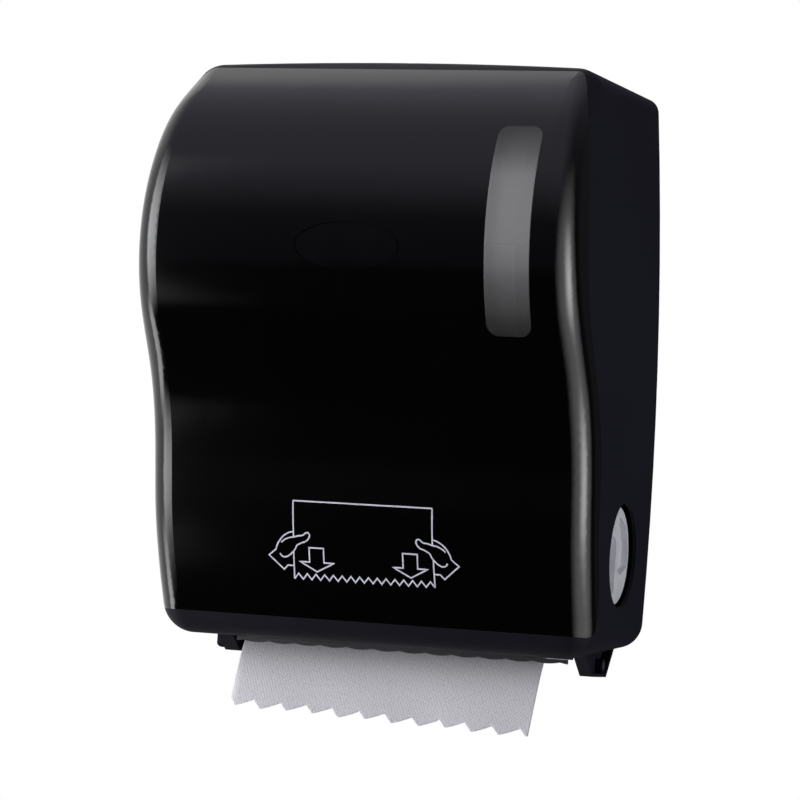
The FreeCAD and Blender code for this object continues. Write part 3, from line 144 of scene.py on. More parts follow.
def sky(strength):
    """A white background shader."""
    shader = world_tree.nodes.new("ShaderNodeBackground")
    shader.inputs["Color"].default_value = (1, 1, 1, 1)
    shader.inputs["Strength"].default_value = strength
    return shader


def toward(direction, far, near, smooth=True):
    """How nearly a ray points in a direction: 0 where their cosine is far, 1 where it is near."""
    cosine = world_tree.nodes.new("ShaderNodeVectorMath")
    cosine.operation = "DOT_PRODUCT"
    cosine.inputs[1].default_value = direction
    world_links.new(ray_direction, cosine.inputs[0])
    share = add_node(world_tree, "ShaderNodeMapRange", From_Min=far, From_Max=near)
    if smooth:
        share.interpolation_type = "SMOOTHSTEP"
    world_links.new(cosine.outputs["Value"], share.inputs["Value"])
    return share


def either(choice, when_false, when_true):
    """One shader or the other, by a share between 0 and 1."""
    mix = world_tree.nodes.new("ShaderNodeMixShader")
    world_links.new(choice, mix.inputs["Fac"])
    world_links.new(when_false.outputs[0], mix.inputs[1])
    world_links.new(when_true.outputs[0], mix.inputs[2])
    return mix


height_share = toward((0, 0, 1), -1, 1, smooth=False)
room_tone = world_tree.nodes.new("ShaderNodeValToRGB")
room_stops = room_tone.color_ramp.elements
room_stops[0].position = 0.313
room_stops[0].color = (0.010, 0.010, 0.012, 1)
room_stops[1].position = 0.854
room_stops[1].color = (0.47, 0.46, 0.55, 1)
room_levels = ((0.362, 0.05), (0.456, 0.06), (0.587, 0.08), (0.655, 0.16), (0.719, 0.27), (0.787, 0.38))
for height, level in room_levels:
    room_stops.new(height).color = (level, level * 0.98, level * 1.2, 1)
world_links.new(height_share.outputs["Result"], room_tone.inputs["Fac"])
dark_share = toward((0.8, 0.6, 0), 0.2, 0.7, smooth=False)
dark_share.inputs["To Min"].default_value = 1.0
dark_share.inputs["To Max"].default_value = 0.3
room = sky(1.0)
world_links.new(room_tone.outputs["Color"], room.inputs["Color"])
world_links.new(dark_share.outputs["Result"], room.inputs["Strength"])

white = sky(1.0)
right_glow = toward((0.955, -0.169, -0.242), 0.6, 1.0)
rear_light = toward((-0.428, 0.635, 0.643), 0.94, 0.985)
left_backdrop = toward((-0.966, 0.259, 0), 0.45, 0.85)
reflected = either(right_glow.outputs["Result"], room, sky(1.8))
reflected = either(rear_light.outputs["Result"], reflected, white)
reflected = either(left_backdrop.outputs["Result"], reflected, white)

path_kind = world_tree.nodes.new("ShaderNodeLightPath")
mirrored = world_tree.nodes.new("ShaderNodeMath")
mirrored.operation = "MAXIMUM"
world_links.new(path_kind.outputs["Is Glossy Ray"], mirrored.inputs[0])
world_links.new(path_kind.outputs["Is Transmission Ray"], mirrored.inputs[1])
unseen = either(mirrored.outputs[0], sky(0.12), reflected)
surround = either(path_kind.outputs["Is Camera Ray"], unseen, white)
world_links.new(surround.outputs[0], world_tree.nodes["World Output"].inputs["Surface"])


# Floor: a pale matt sheet well below the dispenser. Rays straight from the camera see it partly lit from
# within, so that it looks pale, and it keeps the dispenser's soft shadow.
floor_level = -0.80
floor_own_light = 0.6
floor_mesh = bpy.data.meshes.new("floor")
floor_build = bmesh.new()
bmesh.ops.create_grid(floor_build, x_segments=1, y_segments=1, size=0.75)
floor_build.to_mesh(floor_mesh)
floor_build.free()
floor = bpy.data.objects.new("floor", floor_mesh)
floor.location = (0.0, 0.40, floor_level)
scene.collection.objects.link(floor)
floor_finish, floor_tree, floor_shader = new_material("pale_floor")
floor_shader.inputs["Base Color"].default_value = (0.82, 0.82, 0.82, 1)
floor_shader.inputs["Roughness"].default_value = 0.8
floor_glow = floor_tree.nodes.new("ShaderNodeEmission")
floor_share = floor_tree.nodes.new("ShaderNodeMath")
floor_share.operation = "MULTIPLY"
floor_share.inputs[1].default_value = floor_own_light
floor_mix = floor_tree.nodes.new("ShaderNodeMixShader")
floor_rays = floor_tree.nodes.new("ShaderNodeLightPath")
floor_tree.links.new(floor_rays.outputs["Is Camera Ray"], floor_share.inputs[0])
floor_tree.links.new(floor_share.outputs[0], floor_mix.inputs["Fac"])
floor_tree.links.new(floor_shader.outputs["BSDF"], floor_mix.inputs[1])
floor_tree.links.new(floor_glow.outputs["Emission"], floor_mix.inputs[2])
floor_tree.links.new(floor_mix.outputs[0], floor_tree.nodes["Material Output"].inputs["Surface"])
floor_mesh.materials.append(floor_finish)


# Cover shell: the matte black ABS moulding that makes the sides, the top, the lower lip and the lugs.
# Its fine spark-eroded texture scatters light, so its edges show only soft, slightly blue highlights.


def wear_coordinates(tree):
    """Object-space coordinates, so that a texture keeps its real size on every side."""
    return tree.nodes.new("ShaderNodeTexCoord").outputs["Object"]


def grain(tree, shader, scale, strength, distance, detail=3.0):
    """A fine moulded grain as bump."""
    noise = add_node(tree, "ShaderNodeTexNoise", Scale=scale, Detail=detail, Roughness=0.6)
    tree.links.new(wear_coordinates(tree), noise.inputs["Vector"])
    bump = add_node(tree, "ShaderNodeBump", Strength=strength, Distance=distance)
    tree.links.new(noise.outputs["Fac"], bump.inputs["Height"])
    tree.links.new(bump.outputs["Normal"], shader.inputs["Normal"])


def mottled(tree, shader, dark, light, scale):
    """Slight unevenness of colour between two close tones."""
    noise = add_node(tree, "ShaderNodeTexNoise", Scale=scale, Detail=4.0, Roughness=0.55)
    tree.links.new(wear_coordinates(tree), noise.inputs["Vector"])
    ramp = tree.nodes.new("ShaderNodeValToRGB")
    ramp.color_ramp.elements[0].position = 0.35
    ramp.color_ramp.elements[1].position = 0.65
    ramp.color_ramp.elements[0].color = (*dark, 1)
    ramp.color_ramp.elements[1].color = (*light, 1)
    tree.links.new(noise.outputs["Fac"], ramp.inputs["Fac"])
    tree.links.new(ramp.outputs["Color"], shader.inputs["Base Color"])


def uneven_roughness(tree, shader, low, high, scale):
    """Roughness that wanders between two levels."""
    noise = add_node(tree, "ShaderNodeTexNoise", Scale=scale, Detail=5.0, Roughness=0.6)
    tree.links.new(wear_coordinates(tree), noise.inputs["Vector"])
    spread = add_node(tree, "ShaderNodeMapRange")
    spread.inputs["To Min"].default_value = low
    spread.inputs["To Max"].default_value = high
    tree.links.new(noise.outputs["Fac"], spread.inputs["Value"])
    tree.links.new(spread.outputs["Result"], shader.inputs["Roughness"])


def dress(material, *names):
    """Put one material on whole CAD nodes."""
    for name in names:
        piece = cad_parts[name]
        piece.data.materials.clear()
        piece.data.materials.append(material)


shell_finish, shell_tree, shell_shader = new_material("matte_black_abs")
mottled(shell_tree, shell_shader, (0.0040, 0.0042, 0.0078), (0.0052, 0.0054, 0.0098), 9)
shell_shader.inputs["Specular IOR Level"].default_value = 0.1
uneven_roughness(shell_tree, shell_shader, 0.46, 0.56, 14)
grain(shell_tree, shell_shader, 1500, 0.35, 0.0002)
dress(shell_finish, "cover_shell")


# Front panel: one S-shaped sheet of piano-black ABS, polished in the mould and left uncoated.
# It is snapped to the shell from inside and carries a printed picture of how to pull the towel.
gloss_finish, gloss_tree, gloss_shader = new_material("piano_black_abs")
mottled(gloss_tree, gloss_shader, (0.0005, 0.0005, 0.0006), (0.0008, 0.0008, 0.0010), 6)
uneven_roughness(gloss_tree, gloss_shader, 0.085, 0.115, 8)
dress(gloss_finish, "front_panel")


# Window lens: a hazy smoked polycarbonate strip with fine dots, through which the roll is dimly seen.
# It stands a little proud of the panel and is held behind it by its flange. Its colour holds painted light
# and shade: lighter in the middle of its height, where the lit roll shows through, and darkest at its ends.
lens_finish, lens_tree, lens_shader = new_material("smoked_lens")
lens_shader.inputs["Alpha"].default_value = 0.5
lens_split = lens_tree.nodes.new("ShaderNodeSeparateXYZ")
lens_tree.links.new(lens_tree.nodes.new("ShaderNodeTexCoord").outputs["Generated"], lens_split.inputs[0])
# Painted light: the lens is coloured lighter up its middle, where the lit roll shows through it, and darker
# towards both ends as painted shade.
lens_painted_light = lens_tree.nodes.new("ShaderNodeValToRGB")
lens_painted_light.color_ramp.interpolation = "B_SPLINE"
painted_light_stops = lens_painted_light.color_ramp.elements
painted_light_stops[0].position = 0.06
painted_light_stops[0].color = (0.045, 0.045, 0.045, 1)
painted_light_stops[1].position = 0.98
painted_light_stops[1].color = (0.10, 0.10, 0.105, 1)
painted_light_levels = (
    (0.13, 0.09),
    (0.26, 0.19),
    (0.33, 0.28),
    (0.46, 0.40),
    (0.725, 0.42),
    (0.79, 0.30),
    (0.86, 0.18),
)
for height, level in painted_light_levels:
    painted_light_stops.new(height).color = (level, level * 0.99, level * 1.01, 1)
lens_tree.links.new(lens_split.outputs["Z"], lens_painted_light.inputs["Fac"])
lens_tree.links.new(lens_painted_light.outputs["Color"], lens_shader.inputs["Base Color"])
dot_spacing = 0.0019
lens_dots = add_node(lens_tree, "ShaderNodeTexVoronoi", Scale=1 / dot_spacing, Randomness=0.1)
lens_tree.links.new(wear_coordinates(lens_tree), lens_dots.inputs["Vector"])
lens_bump = add_node(lens_tree, "ShaderNodeBump", Strength=0.12, Distance=0.0002)
lens_tree.links.new(lens_dots.outputs["Distance"], lens_bump.inputs["Height"])
lens_tree.links.new(lens_bump.outputs["Normal"], lens_shader.inputs["Normal"])
uneven_roughness(lens_tree, lens_shader, 0.10, 0.16, 30)
dress(lens_finish, "window_lens")


# Badge: a plain oval of satin-black ABS, moulded on its own and pressed into the panel's recess.
# The narrow groove left round it shows as a ring, and its face is left bare.
badge_finish, badge_tree, badge_shader = new_material("badge_satin")
mottled(badge_tree, badge_shader, (0.0006, 0.0006, 0.0008), (0.0012, 0.0012, 0.0015), 40)
uneven_roughness(badge_tree, badge_shader, 0.09, 0.13, 40)
dress(badge_finish, "badge_inlay")


# Lock: a chromed zinc barrel in the top of the cover, with the plug that the key turns inside it.
# The tongue below it is steel strip and is dressed with the other steel parts.
chrome_finish, chrome_tree, chrome_shader = new_material("lock_chrome")
chrome_shader.inputs["Metallic"].default_value = 1.0
mottled(chrome_tree, chrome_shader, (0.55, 0.55, 0.56), (0.66, 0.66, 0.67), 120)
uneven_roughness(chrome_tree, chrome_shader, 0.12, 0.24, 90)
dress(chrome_finish, "lock_barrel", "lock_plug")


# Steel parts: tie rods, pins, screws and the pinch shaft of bright drawn rod, the tongue and the blade of
# strip. Drawing and rolling leave fine marks, which here run along the X axis.
steel_finish, steel_tree, steel_shader = new_material("drawn_steel")
steel_shader.inputs["Metallic"].default_value = 1.0
stretch = add_node(steel_tree, "ShaderNodeMapping")
stretch.inputs["Scale"].default_value = (12, 900, 900)
steel_tree.links.new(wear_coordinates(steel_tree), stretch.inputs["Vector"])
lines = add_node(steel_tree, "ShaderNodeTexNoise", Scale=1.0, Detail=3.0)
steel_tree.links.new(stretch.outputs["Vector"], lines.inputs["Vector"])
steel_ramp = steel_tree.nodes.new("ShaderNodeValToRGB")
steel_ramp.color_ramp.elements[0].color = (0.36, 0.36, 0.37, 1)
steel_ramp.color_ramp.elements[1].color = (0.6, 0.6, 0.61, 1)
steel_tree.links.new(lines.outputs["Fac"], steel_ramp.inputs["Fac"])
steel_tree.links.new(steel_ramp.outputs["Color"], steel_shader.inputs["Base Color"])
steel_bump = add_node(steel_tree, "ShaderNodeBump", Strength=0.25, Distance=0.0001)
steel_tree.links.new(lines.outputs["Fac"], steel_bump.inputs["Height"])
steel_tree.links.new(steel_bump.outputs["Normal"], steel_shader.inputs["Normal"])
uneven_roughness(steel_tree, steel_shader, 0.24, 0.4, 60)
dress(
    steel_finish,
    "lock_tongue",
    "tie_rods",
    "plate_screws",
    "hinge_pin_left",
    "hinge_pin_right",
    "crank_pin",
    "spring_anchor",
    "blade_rod",
    "cutter_blade",
    "pinch_shaft",
    "arm_pin_left",
    "arm_pin_right",
)


# Springs: coils of round steel wire. The long one turns the drum home and has an eye round a pin at each
# end. The two short ones are open coils that press the pinch roller's blocks forwards.


def wire_piece(name, points, radius, sides=8):
    """Round wire swept along a path of points."""
    build = bmesh.new()
    rings = []
    side_way = Vector((1, 0, 0))
    last = len(points) - 1
    for number, point in enumerate(points):
        way = (points[min(number + 1, last)] - points[max(number - 1, 0)]).normalized()
        side_way = (side_way - way * side_way.dot(way)).normalized()
        other_way = way.cross(side_way)
        ring = []
        for part in range(sides):
            turn = 2 * math.pi * part / sides
            shift = side_way * math.cos(turn) + other_way * math.sin(turn)
            ring.append(build.verts.new(point + shift * radius))
        rings.append(ring)
    for first, second in zip(rings, rings[1:]):
        for part in range(sides):
            after = (part + 1) % sides
            face = build.faces.new((first[part], first[after], second[after], second[part]))
            face.smooth = True
    build.faces.new(reversed(rings[0]))
    build.faces.new(rings[-1])
    bmesh.ops.recalc_face_normals(build, faces=build.faces)
    mesh = bpy.data.meshes.new(name)
    build.to_mesh(mesh)
    build.free()
    wire = bpy.data.objects.new(name, mesh)
    scene.collection.objects.link(wire)
    mesh.materials.append(steel_finish)
    return wire


def coil_points(start, end, radius, turns, first_way, steps=14):
    """A helix from start to end whose first point lies on the side that first_way shows."""
    along = (end - start).normalized()
    side_way = (first_way - along * first_way.dot(along)).normalized()
    other_way = along.cross(side_way)
    points = []
    count = round(turns * steps)
    for number in range(count + 1):
        turn = 2 * math.pi * number / steps
        around = side_way * math.cos(turn) + other_way * math.sin(turn)
        points.append(start.lerp(end, number / count) + around * radius)
    return points


def middle(name):
    """The centre of a CAD node's box."""
    low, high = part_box(name)
    return (low + high) / 2


def long_spring():
    """The drum's spring: an eye round the crank's pin, a coil and an eye round the anchor post."""
    low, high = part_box("return_spring")
    wire = 0.0006
    pin_eye, post_eye = 0.0034, 0.0039
    neck_start, coil_start = 0.0068, 0.009
    coil_turns = 44
    steps_round_eye = 20.5
    coil_radius = (high.x - low.x) / 2 - wire
    across = (low.x + high.x) / 2
    pin = middle("crank_pin")
    post = middle("spring_anchor")
    start = Vector((across, pin.y, pin.z))
    end = Vector((across, post.y, post.z))
    along = (end - start).normalized()
    eyes = []
    for centre, eye_radius, away in ((start, pin_eye, along), (end, post_eye, -along)):
        flat = away.cross(Vector((1, 0, 0)))
        eye = []
        for number in range(21):
            turn = 2 * math.pi * number / steps_round_eye
            eye.append(centre + (away * math.cos(turn) + flat * math.sin(turn)) * eye_radius)
        eyes.append(eye)
    neck = along * neck_start
    coil_gap = along * coil_start
    body = coil_points(start + coil_gap, end - coil_gap, coil_radius, coil_turns, Vector((-1, 0, 0)))
    path = eyes[0][::-1] + [start + neck] + body + [end - neck] + eyes[1]
    spring = wire_piece("return_spring_wire", path, wire)
    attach(spring, "base")
    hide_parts("return_spring")


long_spring()
spring_wire = 0.0004
spring_turns = 6
for side_name in ("left", "right"):
    spring_low, spring_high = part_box(f"pinch_spring_{side_name}")
    spring_middle = middle(f"pinch_spring_{side_name}")
    rear = Vector((spring_middle.x, spring_high.y - spring_wire, spring_middle.z))
    fore = Vector((spring_middle.x, spring_low.y + spring_wire, spring_middle.z))
    reach = (spring_high.x - spring_low.x) / 2 - spring_wire
    short_path = coil_points(rear, fore, reach, spring_turns, Vector((0, 0, 1)), steps=20)
    short_spring = wire_piece(f"pinch_spring_wire_{side_name}", short_path, spring_wire)
    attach(short_spring, "base")
    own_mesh(short_spring)
    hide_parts(f"pinch_spring_{side_name}")


# Chassis: back plate, side plates, guide, guard and roll arms, moulded in black ABS with a coarse grain.
# Tie rods and screwed angles hold the side plates, and the rest sits on them or on the back plate.
chassis_finish, chassis_tree, chassis_shader = new_material("chassis_black_abs")
mottled(chassis_tree, chassis_shader, (0.011, 0.011, 0.014), (0.017, 0.017, 0.021), 12)
uneven_roughness(chassis_tree, chassis_shader, 0.42, 0.6, 20)
grain(chassis_tree, chassis_shader, 900, 0.4, 0.0003)
dress(
    chassis_finish,
    "back_plate",
    "side_plate_left",
    "side_plate_right",
    "plate_feet",
    "paper_guide",
    "drum_guard",
    "roll_arm_left",
    "roll_arm_right",
    "arm_bracket_left",
    "arm_bracket_right",
)


# Tear bar: a thin black strip between the side plates, just in front of the leaving towel. Its lower edge
# is moulded in shallow scallops of the towel's pitch, and shows as a wavy line below the cover.


def wavy_strip():
    """A flat strip along X whose lower edge is scalloped."""
    left_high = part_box("side_plate_left")[1]
    right_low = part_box("side_plate_right")[0]
    top, foot = -0.1864, -0.1884
    rear, fore = -0.0846, -0.0872
    wave_depth = 0.0011
    wave_pitch = 0.0176
    columns = 250
    build = bmesh.new()
    rows = []
    for number in range(columns + 1):
        x = left_high.x + (right_low.x - left_high.x) * number / columns
        wave = wave_depth * abs(math.sin(math.pi * (x + 0.1) / wave_pitch))
        corners = [(rear, top), (fore, top), (fore, foot - wave), (rear, foot - wave)]
        rows.append([build.verts.new((x, y, z)) for y, z in corners])
    for first, second in zip(rows, rows[1:]):
        for part in range(4):
            after = (part + 1) % 4
            build.faces.new((first[part], first[after], second[after], second[part]))
    build.faces.new(rows[0])
    build.faces.new(reversed(rows[-1]))
    bmesh.ops.recalc_face_normals(build, faces=build.faces)
    mesh = bpy.data.meshes.new("tear_bar")
    build.to_mesh(mesh)
    build.free()
    return mesh


tear_bar = bpy.data.objects.new("tear_bar", wavy_strip())
scene.collection.objects.link(tear_bar)
tear_bar.data.materials.append(chassis_finish)
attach(tear_bar, "base")


# Drum and bearings: natural white acetal, slightly waxy, with flow marks from moulding. The caps close the
# drum's ends and carry its shafts. The pinch blocks and the roll's hubs are of the same acetal.
acetal_finish, acetal_tree, acetal_shader = new_material("white_acetal")
mottled(acetal_tree, acetal_shader, (0.62, 0.62, 0.6), (0.7, 0.7, 0.68), 25)
uneven_roughness(acetal_tree, acetal_shader, 0.34, 0.48, 40)
grain(acetal_tree, acetal_shader, 700, 0.2, 0.0002)
acetal_shader.inputs["Subsurface Weight"].default_value = 0.1
acetal_shader.inputs["Subsurface Scale"].default_value = 0.002
dress(
    acetal_finish,
    "drum_shell",
    "drum_cap_left",
    "drum_cap_right",
    "crank_arm",
    "blade_carrier",
    "pinch_block_left",
    "pinch_block_right",
    "roll_hub_left",
    "roll_hub_right",
)


# Grip bands and sleeves: matt black rubber, stretched over the drum and over the pinch shaft. They hold the
# towel between them while it is pulled.
rubber_finish, rubber_tree, rubber_shader = new_material("grip_rubber")
mottled(rubber_tree, rubber_shader, (0.018, 0.018, 0.018), (0.03, 0.03, 0.03), 60)
uneven_roughness(rubber_tree, rubber_shader, 0.7, 0.88, 60)
grain(rubber_tree, rubber_shader, 1100, 0.5, 0.0004)
dress(rubber_finish, "drum_grip_bands", "pinch_sleeves")


# Feed knob: a light grey ABS disc on the drum's right shaft, moulded with a grip bar between two finger
# scoops. It is turned by hand to feed the first sheet.
knob_finish, knob_tree, knob_shader = new_material("light_grey_abs")
mottled(knob_tree, knob_shader, (0.66, 0.66, 0.71), (0.74, 0.74, 0.79), 50)
uneven_roughness(knob_tree, knob_shader, 0.3, 0.42, 60)
grain(knob_tree, knob_shader, 1600, 0.2, 0.0001)
dress(knob_finish, "feed_knob")


# Roll: two-ply white tissue, embossed with small dots and wound up dry. It turns on the two hubs that the
# roll arms press into its core.


def embossing(tree, pitch, strength, distance):
    """Small raised dots in slanting rows, as bump."""
    place = tree.nodes.new("ShaderNodeMapping")
    place.inputs["Rotation"].default_value = (math.radians(20), math.radians(30), math.radians(45))
    tree.links.new(wear_coordinates(tree), place.inputs["Vector"])
    dots = add_node(tree, "ShaderNodeTexVoronoi", Scale=1 / pitch, Randomness=0.12)
    dots.feature = "F1"
    tree.links.new(place.outputs["Vector"], dots.inputs["Vector"])
    bump = add_node(tree, "ShaderNodeBump", Strength=strength, Distance=distance)
    bump.invert = True
    tree.links.new(dots.outputs["Distance"], bump.inputs["Height"])
    tree.links.new(bump.outputs["Normal"], tree.nodes["Principled BSDF"].inputs["Normal"])


tissue_finish, tissue_tree, tissue_shader = new_material("embossed_tissue")
mottled(tissue_tree, tissue_shader, (0.66, 0.65, 0.70), (0.74, 0.73, 0.78), 60)
tissue_shader.inputs["Roughness"].default_value = 0.92
embossing(tissue_tree, 0.0022, 0.8, 0.0006)
dress(tissue_finish, "paper_roll")


# Core: a tube of grey-brown board, wound from strips of recycled paper and glued. The roll's innermost turn
# sticks to it.
board_finish, board_tree, board_shader = new_material("core_board")
mottled(board_tree, board_shader, (0.36, 0.26, 0.16), (0.46, 0.34, 0.22), 80)
uneven_roughness(board_tree, board_shader, 0.8, 0.95, 50)
grain(board_tree, board_shader, 500, 0.5, 0.0004)
dress(board_finish, "roll_core")


# Towel: the sheet that runs from the roll's rear, round the rear of the drum and out of the slot.
# Its lower edge was cut by the scalloped blade, so it ends in tips that fall steeply on their left.
drum_low, drum_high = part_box("drum_grip_bands")
roll_low, roll_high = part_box("paper_roll")
drum_centre = (drum_low + drum_high) / 2
roll_centre = (roll_low + roll_high) / 2
clear = 0.00055
drum_wrap = (drum_high.z - drum_low.z) / 2 + clear
roll_wrap = (roll_high.z - roll_low.z) / 2 + clear
between = drum_centre - roll_centre
lean = math.atan2(between.y, -between.z)
touch = math.asin((roll_wrap - drum_wrap) / math.hypot(between.y, between.z)) - lean
leave = math.radians(45)
hang = math.radians(28)
run = 0.049
sheet_thickness = 0.0003
bend_radius = 0.09 - clear + sheet_thickness


def round_a_roller(centre, radius, turn):
    """A point on a roller's rear, a turn below the level of its axis."""
    return Vector((0, centre.y + radius * math.cos(turn), centre.z - radius * math.sin(turn)))


def towel_path(step):
    """Points down the middle of the sheet, about one step apart, from the roll to below the cut edge."""
    points = [round_a_roller(roll_centre, roll_wrap, touch)]

    def straight_to(end):
        start = points[-1]
        count = max(2, round((end - start).length / step))
        points.extend(start.lerp(end, number / count) for number in range(1, count + 1))

    def heading(turn):
        return Vector((0, -math.sin(turn), -math.cos(turn)))

    straight_to(round_a_roller(drum_centre, drum_wrap, touch))
    count = round(drum_wrap * (leave - touch) / step)
    for number in range(1, count + 1):
        points.append(round_a_roller(drum_centre, drum_wrap, touch + (leave - touch) * number / count))
    straight_to(points[-1] + heading(leave) * run)
    bend_centre = points[-1] + Vector((0, math.cos(leave), -math.sin(leave))) * bend_radius
    count = round(bend_radius * (leave - hang) / step)
    for number in range(1, count + 1):
        turn = leave + (hang - leave) * number / count
        points.append(bend_centre + Vector((0, -math.cos(turn), math.sin(turn))) * bend_radius)
    straight_to(points[-1] + heading(hang) * 0.04)
    return points


scallop_pitch = 0.0176
scallop_depth = 0.0055
scallop_lead = 0.0049
scallop_clear = 0.0004
half_width = 0.1
left_tip = -0.231
right_tip = -0.236


def cut_height(x):
    """Height of the cut edge at x: each scallop falls steeply to its tip and rises gently after it."""
    line = left_tip + (right_tip - left_tip) * (x + half_width) / (2 * half_width)
    along = (x + half_width) / scallop_pitch
    share = (along - math.floor(along)) * scallop_pitch
    uneven = 1 + 0.16 * math.sin(4.1 * math.floor(along) + 0.8)
    if share < scallop_lead:
        rise = 1 - share / scallop_lead
    else:
        rise = ((share - scallop_lead) / (scallop_pitch - scallop_lead)) ** 1.25
    return line + scallop_clear + scallop_depth * (0.14 * (uneven > 1.05) + rise * 0.86)


tail_top = -0.192
tail_length = 0.04
curl_start = -0.094
curl_width = 0.006
curl_reach = 0.0022


def hung(place):
    """The free tail's slight waves and the curl of its left edge."""
    drop = max(0.0, tail_top - place.z) / tail_length
    wave = 0.0007 * drop * math.sin(place.x * 42 + 0.6)
    wave += 0.0004 * drop * math.sin(place.x * 95 + place.z * 60)
    edge = max(0.0, (curl_start - place.x) / curl_width)
    curl = curl_reach * min(drop, 1.0) * edge ** 2
    return Vector((place.x + curl * 0.4, place.y + wave + curl, place.z))


def paper_sheet():
    """The sheet's mesh: columns that follow the path and end on the scalloped cut."""
    path = towel_path(0.0022)
    lengths = [0.0]
    for start, end in zip(path, path[1:]):
        lengths.append(lengths[-1] + (end - start).length)
    columns = 240
    build = bmesh.new()
    flow = build.loops.layers.uv.new("flow")
    rows = []
    for number in range(columns + 1):
        x = -half_width + 2 * half_width * number / columns
        foot = cut_height(x)
        column = []
        for point, length in zip(path, lengths):
            below = point.z < foot
            if below and column and column[-1][0].z <= foot + 1e-7:
                place = column[-1][0].copy()
                travel = column[-1][1]
            elif below:
                above, above_length = column[-1]
                share = (above.z - foot) / (above.z - point.z)
                place = above.lerp(Vector((x, point.y, point.z)), share)
                travel = above_length + (length - above_length) * share
            else:
                place = Vector((x, point.y, point.z))
                travel = length
            column.append((place, travel))
        rows.append(column)
    grid = []
    for column in rows:
        grid.append([build.verts.new(hung(place)) for place, _ in column])
    for left, right_side in zip(range(columns), range(1, columns + 1)):
        for low in range(len(path) - 1):
            corners = [(left, low), (right_side, low), (right_side, low + 1), (left, low + 1)]
            spread = {round(rows[a][b][1], 7) for a, b in corners}
            if len(spread) == 1:
                continue
            face = build.faces.new([grid[a][b] for a, b in corners])
            face.smooth = True
            for loop, (a, b) in zip(face.loops, corners):
                loop[flow].uv = (rows[a][b][0].x, rows[a][b][1])
    bmesh.ops.remove_doubles(build, verts=build.verts, dist=1e-6)
    bmesh.ops.dissolve_degenerate(build, edges=build.edges, dist=1e-7)
    mesh = bpy.data.meshes.new("towel_sheet")
    build.to_mesh(mesh)
    build.free()
    return mesh


towel = bpy.data.objects.new("towel_sheet", paper_sheet())
scene.collection.objects.link(towel)
thickness = towel.modifiers.new("two_plies", "SOLIDIFY")
thickness.thickness = sheet_thickness
thickness.offset = 0.0
sheet_finish, sheet_tree, sheet_shader = new_material("towel_tissue")
sheet_shader.inputs["Roughness"].default_value = 0.92
sheet_flow = sheet_tree.nodes.new("ShaderNodeUVMap")
sheet_flow.uv_map = "flow"
emboss_turn = sheet_tree.nodes.new("ShaderNodeMapping")
emboss_turn.inputs["Rotation"].default_value = (0, 0, math.radians(38))
emboss_turn.inputs["Scale"].default_value = (1.0, 0.62, 1.0)
sheet_tree.links.new(sheet_flow.outputs["UV"], emboss_turn.inputs["Vector"])
emboss = add_node(sheet_tree, "ShaderNodeTexVoronoi", Scale=1 / 0.0015, Randomness=0.22)
sheet_tree.links.new(emboss_turn.outputs["Vector"], emboss.inputs["Vector"])
# Painted shade: the hollows between the embossed dots are coloured darker and the raised dots lighter.
emboss_painted_shade = sheet_tree.nodes.new("ShaderNodeValToRGB")
emboss_painted_shade.color_ramp.elements[0].position = 0.2
emboss_painted_shade.color_ramp.elements[0].color = (0.69, 0.68, 0.72, 1)
emboss_painted_shade.color_ramp.elements[1].position = 0.75
emboss_painted_shade.color_ramp.elements[1].color = (0.46, 0.45, 0.49, 1)
sheet_tree.links.new(emboss.outputs["Distance"], emboss_painted_shade.inputs["Fac"])
sheet_tree.links.new(emboss_painted_shade.outputs["Color"], sheet_shader.inputs["Base Color"])
emboss_bump = add_node(sheet_tree, "ShaderNodeBump", Strength=0.8, Distance=0.0003)
emboss_bump.invert = True
sheet_tree.links.new(emboss.outputs["Distance"], emboss_bump.inputs["Height"])
sheet_tree.links.new(emboss_bump.outputs["Normal"], sheet_shader.inputs["Normal"])
towel.data.materials.append(sheet_finish)
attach(towel, "base")
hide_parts("paper_towel")


# Picture on the panel: screen-printed pale outlines of a towel held by two hands, with an arrow between
# each hand and the middle that points down. The lines are thin ink films that follow the panel's curve.
panel_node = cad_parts["front_panel"]
panel_mesh = panel_node.data.copy()
panel_mesh.transform(panel_node.matrix_world)
panel_build = bmesh.new()
panel_build.from_mesh(panel_mesh)
panel_tree = BVHTree.FromBMesh(panel_build)
panel_build.free()
bpy.data.meshes.remove(panel_mesh)
ink_width = 0.0009
ink_film = 0.00007
foot_height = -0.185


def on_panel(x, z):
    """A point just in front of the panel's face."""
    hit = panel_tree.ray_cast(Vector((x, -0.4, z)), Vector((0, 1, 0)))[0]
    return Vector((x, hit.y - ink_film, z))


def softened(points):
    """A smooth curve through a few points."""
    dense = []
    count = len(points)
    for number in range(count - 1):
        before = Vector(points[max(number - 1, 0)])
        start = Vector(points[number])
        end = Vector(points[number + 1])
        after = Vector(points[min(number + 2, count - 1)])
        for part in range(4):
            t = part / 4
            bend = (end - before) * t + (2 * before - 5 * start + 4 * end - after) * t ** 2
            bend += (3 * start - before - 3 * end + after) * t ** 3
            point = start + bend / 2
            dense.append((point.x, point.y))
    dense.append(points[-1])
    return dense


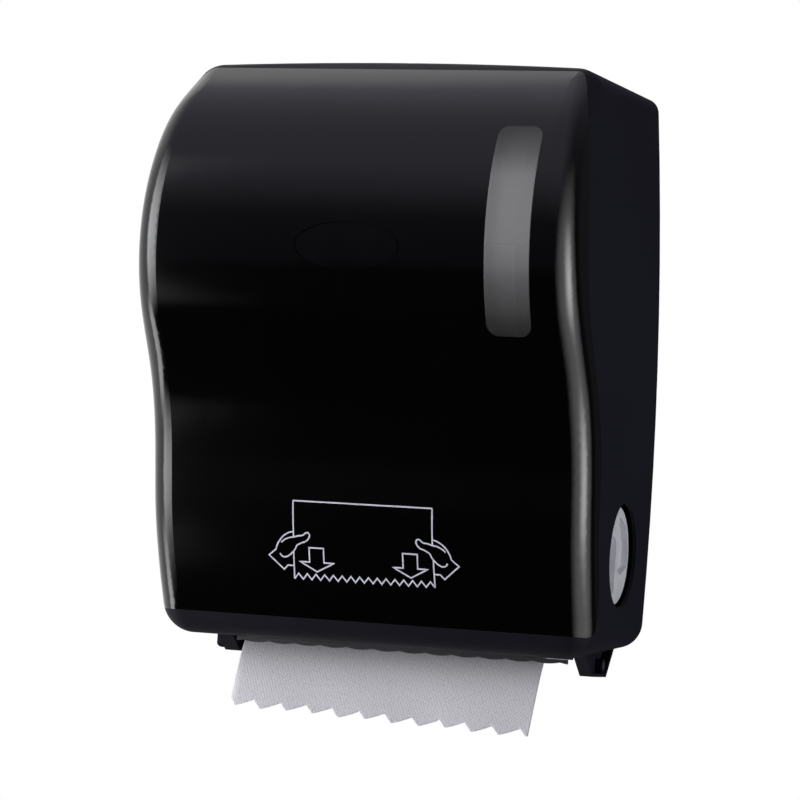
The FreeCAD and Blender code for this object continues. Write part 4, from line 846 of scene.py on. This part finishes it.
def ink_line(build, points, closed=False):
    """One line of ink with mitred corners, cut into short lengths so that it lies on the curve."""
    corners = [Vector((x / 1000, foot_height + height / 1000)) for x, height in points]
    if closed:
        corners.append(corners[0].copy())
    fine = []
    for start, end in zip(corners, corners[1:]):
        count = max(1, math.ceil((end - start).length / 0.003))
        fine.extend(start.lerp(end, number / count) for number in range(count))
    fine.append(corners[-1])
    rim = []
    last = len(fine) - 1
    for number, point in enumerate(fine):
        before = fine[number - 1] if number else (fine[last - 1] if closed else None)
        after = fine[number + 1] if number < last else (fine[1] if closed else None)
        ways = []
        if before is not None:
            ways.append((point - before).normalized())
        if after is not None:
            ways.append((after - point).normalized())
        normals = [Vector((-way.y, way.x)) for way in ways]
        mitre = (normals[0] + normals[-1]).normalized()
        reach = ink_width / 2 / max(0.5, mitre.dot(normals[0]))
        rim.append([point + mitre * reach, point - mitre * reach])
    verts = [[build.verts.new(on_panel(corner.x, corner.y)) for corner in pair] for pair in rim]
    for first, second in zip(verts, verts[1:]):
        face = build.faces.new((first[0], second[0], second[1], first[1]))
        if face.calc_area() and face.normal.y > 0:
            face.normal_flip()


def pull_picture():
    """Every line of the picture, in millimetres from the middle and from its foot."""
    build = bmesh.new()
    half, top, foot = 45, 84.6, 37.0
    hand_back = [(45.4, 65.6), (48.2, 64.9), (51.5, 62.9), (54.0, 60.3), (55.9, 57.3), (56.9, 54.4)]
    cuff = [(56.9, 54.4), (61.7, 50.6), (52.2, 42.4), (49.5, 45.0), (45.8, 45.0)]
    thumb = [(53.3, 58.7), (50.9, 60.6), (47.8, 61.9), (45.0, 62.4), (42.2, 63.2), (39.0, 63.7)]
    thumb += [(36.9, 65.3), (35.2, 65.3), (34.5, 63.7), (35.4, 61.7), (37.3, 60.0), (39.7, 59.2)]
    thumb += [(43.0, 57.4), (44.1, 55.4), (45.5, 53.6), (48.3, 51.1), (51.2, 49.9), (53.2, 50.4)]
    thumb += [(54.4, 52.0)]
    arrow = [(25.7, 56.4), (35.1, 56.4), (35.1, 47.7), (41.5, 47.7)]
    arrow += [(30.5, 42.0), (19.2, 47.7), (25.7, 47.7)]
    for hand in (-1, 1):

        def mirrored_to(points):
            return [(hand * x, height) for x, height in points]

        ink_line(build, mirrored_to(softened(hand_back)))
        ink_line(build, mirrored_to(cuff))
        ink_line(build, mirrored_to(softened(thumb)))
        ink_line(build, mirrored_to(arrow), closed=True)
        ink_line(build, mirrored_to([(half, top), (half, 62.6)]))
        ink_line(build, mirrored_to([(half + 0.3, 53.9), (half + 0.7, foot)]))
    ink_line(build, [(-half, top), (half, top)])
    teeth = 16
    pitch = 2 * (half + 0.7) / teeth
    edge = []
    for number in range(teeth):
        edge.append((-half - 0.7 + number * pitch, foot))
        edge.append((-half - 0.7 + (number + 0.5) * pitch, foot + 3.4))
    edge.append((half + 0.7, foot))
    ink_line(build, edge)
    mesh = bpy.data.meshes.new("pull_picture")
    build.to_mesh(mesh)
    build.free()
    return mesh


picture = bpy.data.objects.new("pull_picture", pull_picture())
scene.collection.objects.link(picture)
ink_finish, ink_tree, ink_shader = new_material("pale_ink")
mottled(ink_tree, ink_shader, (0.50, 0.49, 0.58), (0.62, 0.61, 0.70), 300)
ink_shader.inputs["Roughness"].default_value = 0.6
picture.data.materials.append(ink_finish)
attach(picture, "cover")
